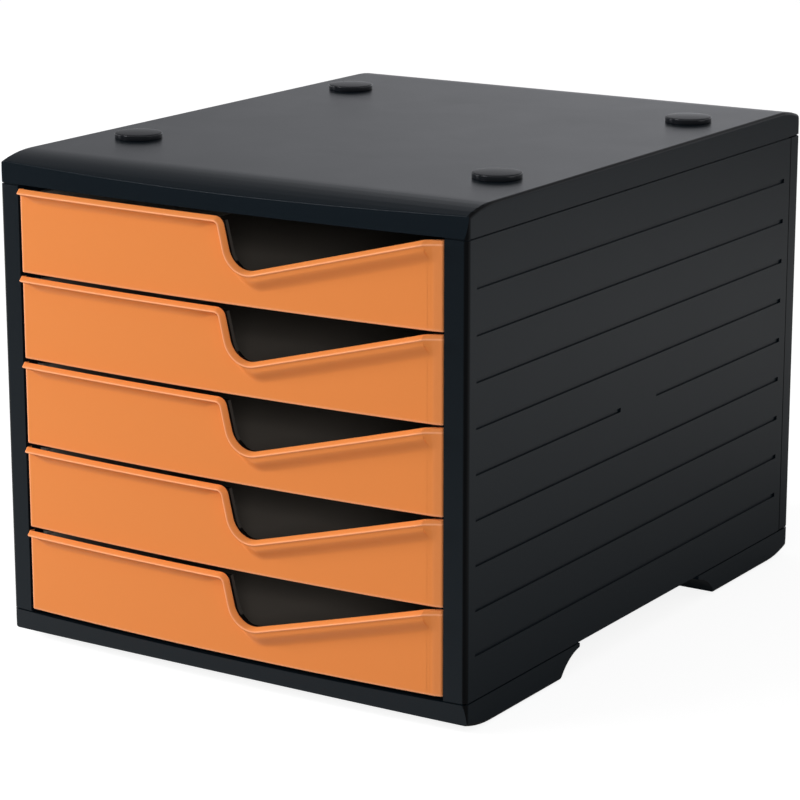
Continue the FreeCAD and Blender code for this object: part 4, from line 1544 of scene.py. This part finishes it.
# ------------------------------------------------------------------ studio
@dataclass(frozen=True)
class SoftBox:
    """A square soft lamp that lights the box, but doesn't show in its gloss.

    Args:
        name: Name of the lamp.
        place: Where it stands, in metres.
        size: Its side.
        power: Its power in watts.
        aim: What it points at.
    """

    name: str
    place: tuple[float, float, float]
    size: float
    power: float
    aim: tuple[float, float, float] = (0.0, 0.0, 0.12)

    def build(self) -> None:
        """Adds the lamp to the scene."""
        lamp = bpy.data.lights.new(self.name, "AREA")
        lamp.shape = "SQUARE"
        lamp.size = self.size
        lamp.energy = self.power
        holder = set_out(self.name, lamp)
        holder.location = self.place
        way = Vector(self.aim) - Vector(self.place)
        holder.rotation_euler = way.to_track_quat("-Z", "Y").to_euler()
        holder.visible_glossy = False


class Window(NamedTuple):
    """A soft bright patch that shows in gloss alone.

    Args:
        way: Direction towards it.
        light: How bright its middle is.
    """

    way: tuple[float, float, float]
    light: float


@dataclass(frozen=True)
class Studio:
    """Pale floor, soft lamps, room and camera.

    The floor and the room look white. In gloss the floor's glow carries a painted shadow where the
    box would shade it and dims far behind, and the room is graded and has two windows.

    Args:
        floor_half: Half the side of the floor, in metres.
        floor_tone: Grey of the floor's paper.
        floor_lift: Light that the floor adds to look white.
        mirrored_before: Level of the mirrored floor before the box, from front to rear.
        mirrored_beside: Its level beside the box, away from it.
        mirrored_along: Its level beside the box, from front to rear.
        mirrored_far: Its fall far behind the box.
        footprint: Half of the box's width and depth, inside which no floor is mirrored.
        room_light: Even light of the room.
        room_tint: Colour of the mirrored room.
        ceiling_lean: How much lower the ceiling starts towards the rear.
        ceiling: Fall of the mirrored room towards the ceiling.
        left_wall: Its level across the room.
        wall_foot: Its level close above the floor.
        rear_wall: Where the rear wall takes over from the walls' foot.
        windows: The patches that show in gloss.
        window_edge: Cosines of the angles at which a window starts and is full.
        lens: Focal length in millimetres.
        sensor: Width of the picture in the camera, in millimetres.
        near: Shortest distance that the camera sees, in metres.
        yaw: Turn of the camera, in degrees.
        pitch: How far it looks down, in degrees.
        roll: Its roll, in degrees.
        camera_place: Where it stands, in metres.
        lamps: The soft lamps.
    """

    floor_half: float = 4.0
    floor_tone: float = 0.38
    floor_lift: float = 0.84
    mirrored_before: Grade = Grade(-0.95, -0.22, 0.02, 1.0)
    mirrored_beside: Grade = Grade(0.1375, 0.56, 0.02, 0.85)
    mirrored_along: Grade = Grade(-0.45, -0.15, 0.03, 1.0)
    mirrored_far: Grade = Grade(0.80, 1.55, 1.0, 0.02)
    footprint: tuple[float, float] = (0.1375, 0.172)
    room_light: float = 0.35
    room_tint: tuple[float, float, float] = (0.96, 0.97, 1.02)
    ceiling_lean: float = 0.3
    ceiling: Grade = Grade(0.48, 0.80, 1.0, 0.30)
    left_wall: Grade = Grade(-0.66, -0.46, 0.42, 0.86)
    wall_foot: Grade = Grade(0.02, 0.28, 0.10, 1.0)
    rear_wall: Grade = Grade(-0.4, 0.1, 0.0, 1.0)
    windows: tuple[Window, ...] = (Window((-0.935, -0.325, 0.14), 2.0),
                                   Window((-0.52, -0.60, 0.61), 8.0))
    window_edge: tuple[float, float] = (0.975, 0.994)
    lens: float = 136.78
    sensor: float = 36.0
    near: float = 0.05
    yaw: float = 32.686
    pitch: float = 14.445
    roll: float = -0.048
    camera_place: tuple[float, float, float] = (0.8424, -1.3254, 0.5135)
    lamps: tuple[SoftBox, ...] = (
        SoftBox("side", (-2.3, -0.8, 0.60), 0.5, 54.0),
        SoftBox("front", (1.33, -1.95, 0.80), 0.45, 20.0),
        SoftBox("top", (-1.2, -1.5, 1.7), 1.0, 9.0),
    )

    def _floor(self) -> None:
        """Adds the floor, which shows white but keeps the shadow."""
        half = self.floor_half
        mesh = bpy.data.meshes.new("floor")
        mesh.from_pydata([(-half, -half, 0), (half, -half, 0), (half, half, 0), (-half, half, 0)],
                         [], [(0, 1, 2, 3)])
        floor = set_out("floor", mesh)
        made, tree = new_material("floor_paper")
        tone = self.floor_tone
        paper = tree.add("ShaderNodeBsdfDiffuse", in_Color=(tone, tone, tone, 1.0)).outputs[0]
        lift = tree.add("ShaderNodeEmission", in_Strength=self._mirrored_floor(tree)).outputs[0]
        both = tree.add("ShaderNodeAddShader")
        tree.feed(both.inputs[0], paper)
        tree.feed(both.inputs[1], lift)
        path = tree.add("ShaderNodeLightPath")
        direct = tree.math("MAXIMUM", path.outputs["Is Camera Ray"], path.outputs["Is Glossy Ray"])
        seen = tree.math("MAXIMUM", direct, path.outputs["Is Transmission Ray"])
        shown = tree.choose_shader(seen, paper, both.outputs[0])
        tree.add("ShaderNodeOutputMaterial", in_Surface=shown)
        mesh.materials.append(made)

    def _mirrored_floor(self, tree: Tree) -> bpy.types.NodeSocket:
        """How bright the floor's glow is: even to the eye, in gloss graded round the box as a
        painted shadow.

        Args:
            tree: The floor's shader tree.

        Returns:
            The output with the strength.
        """
        place = tree.add("ShaderNodeSeparateXYZ",
                         in_Vector=tree.add("ShaderNodeTexCoord").outputs["Object"])
        across, along = place.outputs["X"], place.outputs["Y"]
        half_width, half_depth = self.footprint
        beside = tree.math("MULTIPLY", tree.grade(across, self.mirrored_beside),
                           tree.math("MULTIPLY", tree.grade(along, self.mirrored_along),
                                     tree.grade(along, self.mirrored_far)))
        level = tree.choose(tree.math("GREATER_THAN", across, half_width),
                            tree.grade(along, self.mirrored_before), beside)
        outside = tree.math(
            "MAXIMUM",
            tree.math("GREATER_THAN", tree.math("ABSOLUTE", across), half_width),
            tree.math("GREATER_THAN", tree.math("ABSOLUTE", along), half_depth))
        path = tree.add("ShaderNodeLightPath")
        even = tree.math("MAXIMUM", tree.math("MULTIPLY", level, outside),
                         path.outputs["Is Camera Ray"])
        return tree.math("MULTIPLY", even, self.floor_lift)

    def _mirrored_room(self, tree: Tree) -> bpy.types.NodeSocket:
        """How bright the room is in gloss: graded walls, a dim ceiling and the windows.

        Args:
            tree: The world's shader tree.

        Returns:
            The output with the strength.
        """
        way = tree.add("ShaderNodeTexCoord").outputs["Generated"]
        parts = tree.add("ShaderNodeSeparateXYZ", in_Vector=way)
        x, y, z = parts.outputs
        leaning = tree.math("MULTIPLY_ADD", y, self.ceiling_lean, z)
        walls = tree.math("MULTIPLY", tree.grade(leaning, self.ceiling, "SMOOTHSTEP"),
                          tree.grade(x, self.left_wall))
        foot = tree.math("MAXIMUM", tree.grade(z, self.wall_foot), tree.grade(y, self.rear_wall))
        strength = tree.math("MULTIPLY", walls, foot)
        for window in self.windows:
            toward = tree.add("ShaderNodeVectorMath", operation="DOT_PRODUCT")
            tree.feed(toward.inputs[0], way)
            tree.feed(toward.inputs[1], Vector(window.way).normalized())
            patch = tree.grade(toward.outputs["Value"], Grade(*self.window_edge, 0.0, window.light),
                               "SMOOTHSTEP")
            strength = tree.math("ADD", strength, patch)
        return strength

    def _world(self) -> None:
        """Lights the room evenly, shows it white and lets gloss mirror a graded one."""
        world = bpy.data.worlds.new("room")
        world.use_nodes = True
        world.node_tree.nodes.clear()
        tree = Tree(world.node_tree)
        even, mirrored, white = [
            tree.add("ShaderNodeBackground", in_Color=tint, in_Strength=strength).outputs[0]
            for tint, strength in ((WHITE, self.room_light),
                                   ((*self.room_tint, 1.0), self._mirrored_room(tree)),
                                   (WHITE, 1.0))]
        path = tree.add("ShaderNodeLightPath").outputs
        glossy = tree.choose_shader(path["Is Glossy Ray"], even, mirrored)
        seen = tree.math("MAXIMUM", path["Is Camera Ray"], path["Is Transmission Ray"])
        tree.add("ShaderNodeOutputWorld", in_Surface=tree.choose_shader(seen, glossy, white))
        bpy.context.scene.world = world

    def _camera(self) -> None:
        """Stands the camera before the right front corner of the box."""
        lens = bpy.data.cameras.new("camera")
        lens.lens = self.lens
        lens.sensor_width = self.sensor
        lens.clip_start = self.near
        holder = set_out("camera", lens)
        holder.location = self.camera_place
        holder.rotation_mode = "QUATERNION"
        turn = Quaternion((0.0, 0.0, 1.0), math.radians(self.yaw))
        tilt = Quaternion((1.0, 0.0, 0.0), math.radians(90.0 - self.pitch))
        spin = Quaternion((0.0, 0.0, 1.0), math.radians(self.roll))
        holder.rotation_quaternion = turn @ tilt @ spin
        bpy.context.scene.camera = holder

    def build(self) -> None:
        """Adds everything that isn't part of the box."""
        self._floor()
        self._world()
        for lamp in self.lamps:
            lamp.build()
        self._camera()
        bpy.context.scene.view_settings.view_transform = "Standard"


def main() -> None:
    """Builds the box and its studio."""
    logging.basicConfig(level=logging.INFO, format="%(name)s: %(message)s")
    shop = Workshop()
    low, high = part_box("base_frame")
    Housing(shop).build()
    for number in range(1, DRAWER_COUNT + 1):
        DrawerTray(shop, number).build()
        DrawerFront(shop, number, high.x - low.x).build()
    Studio().build()


if __name__ == "__main__":
    main()
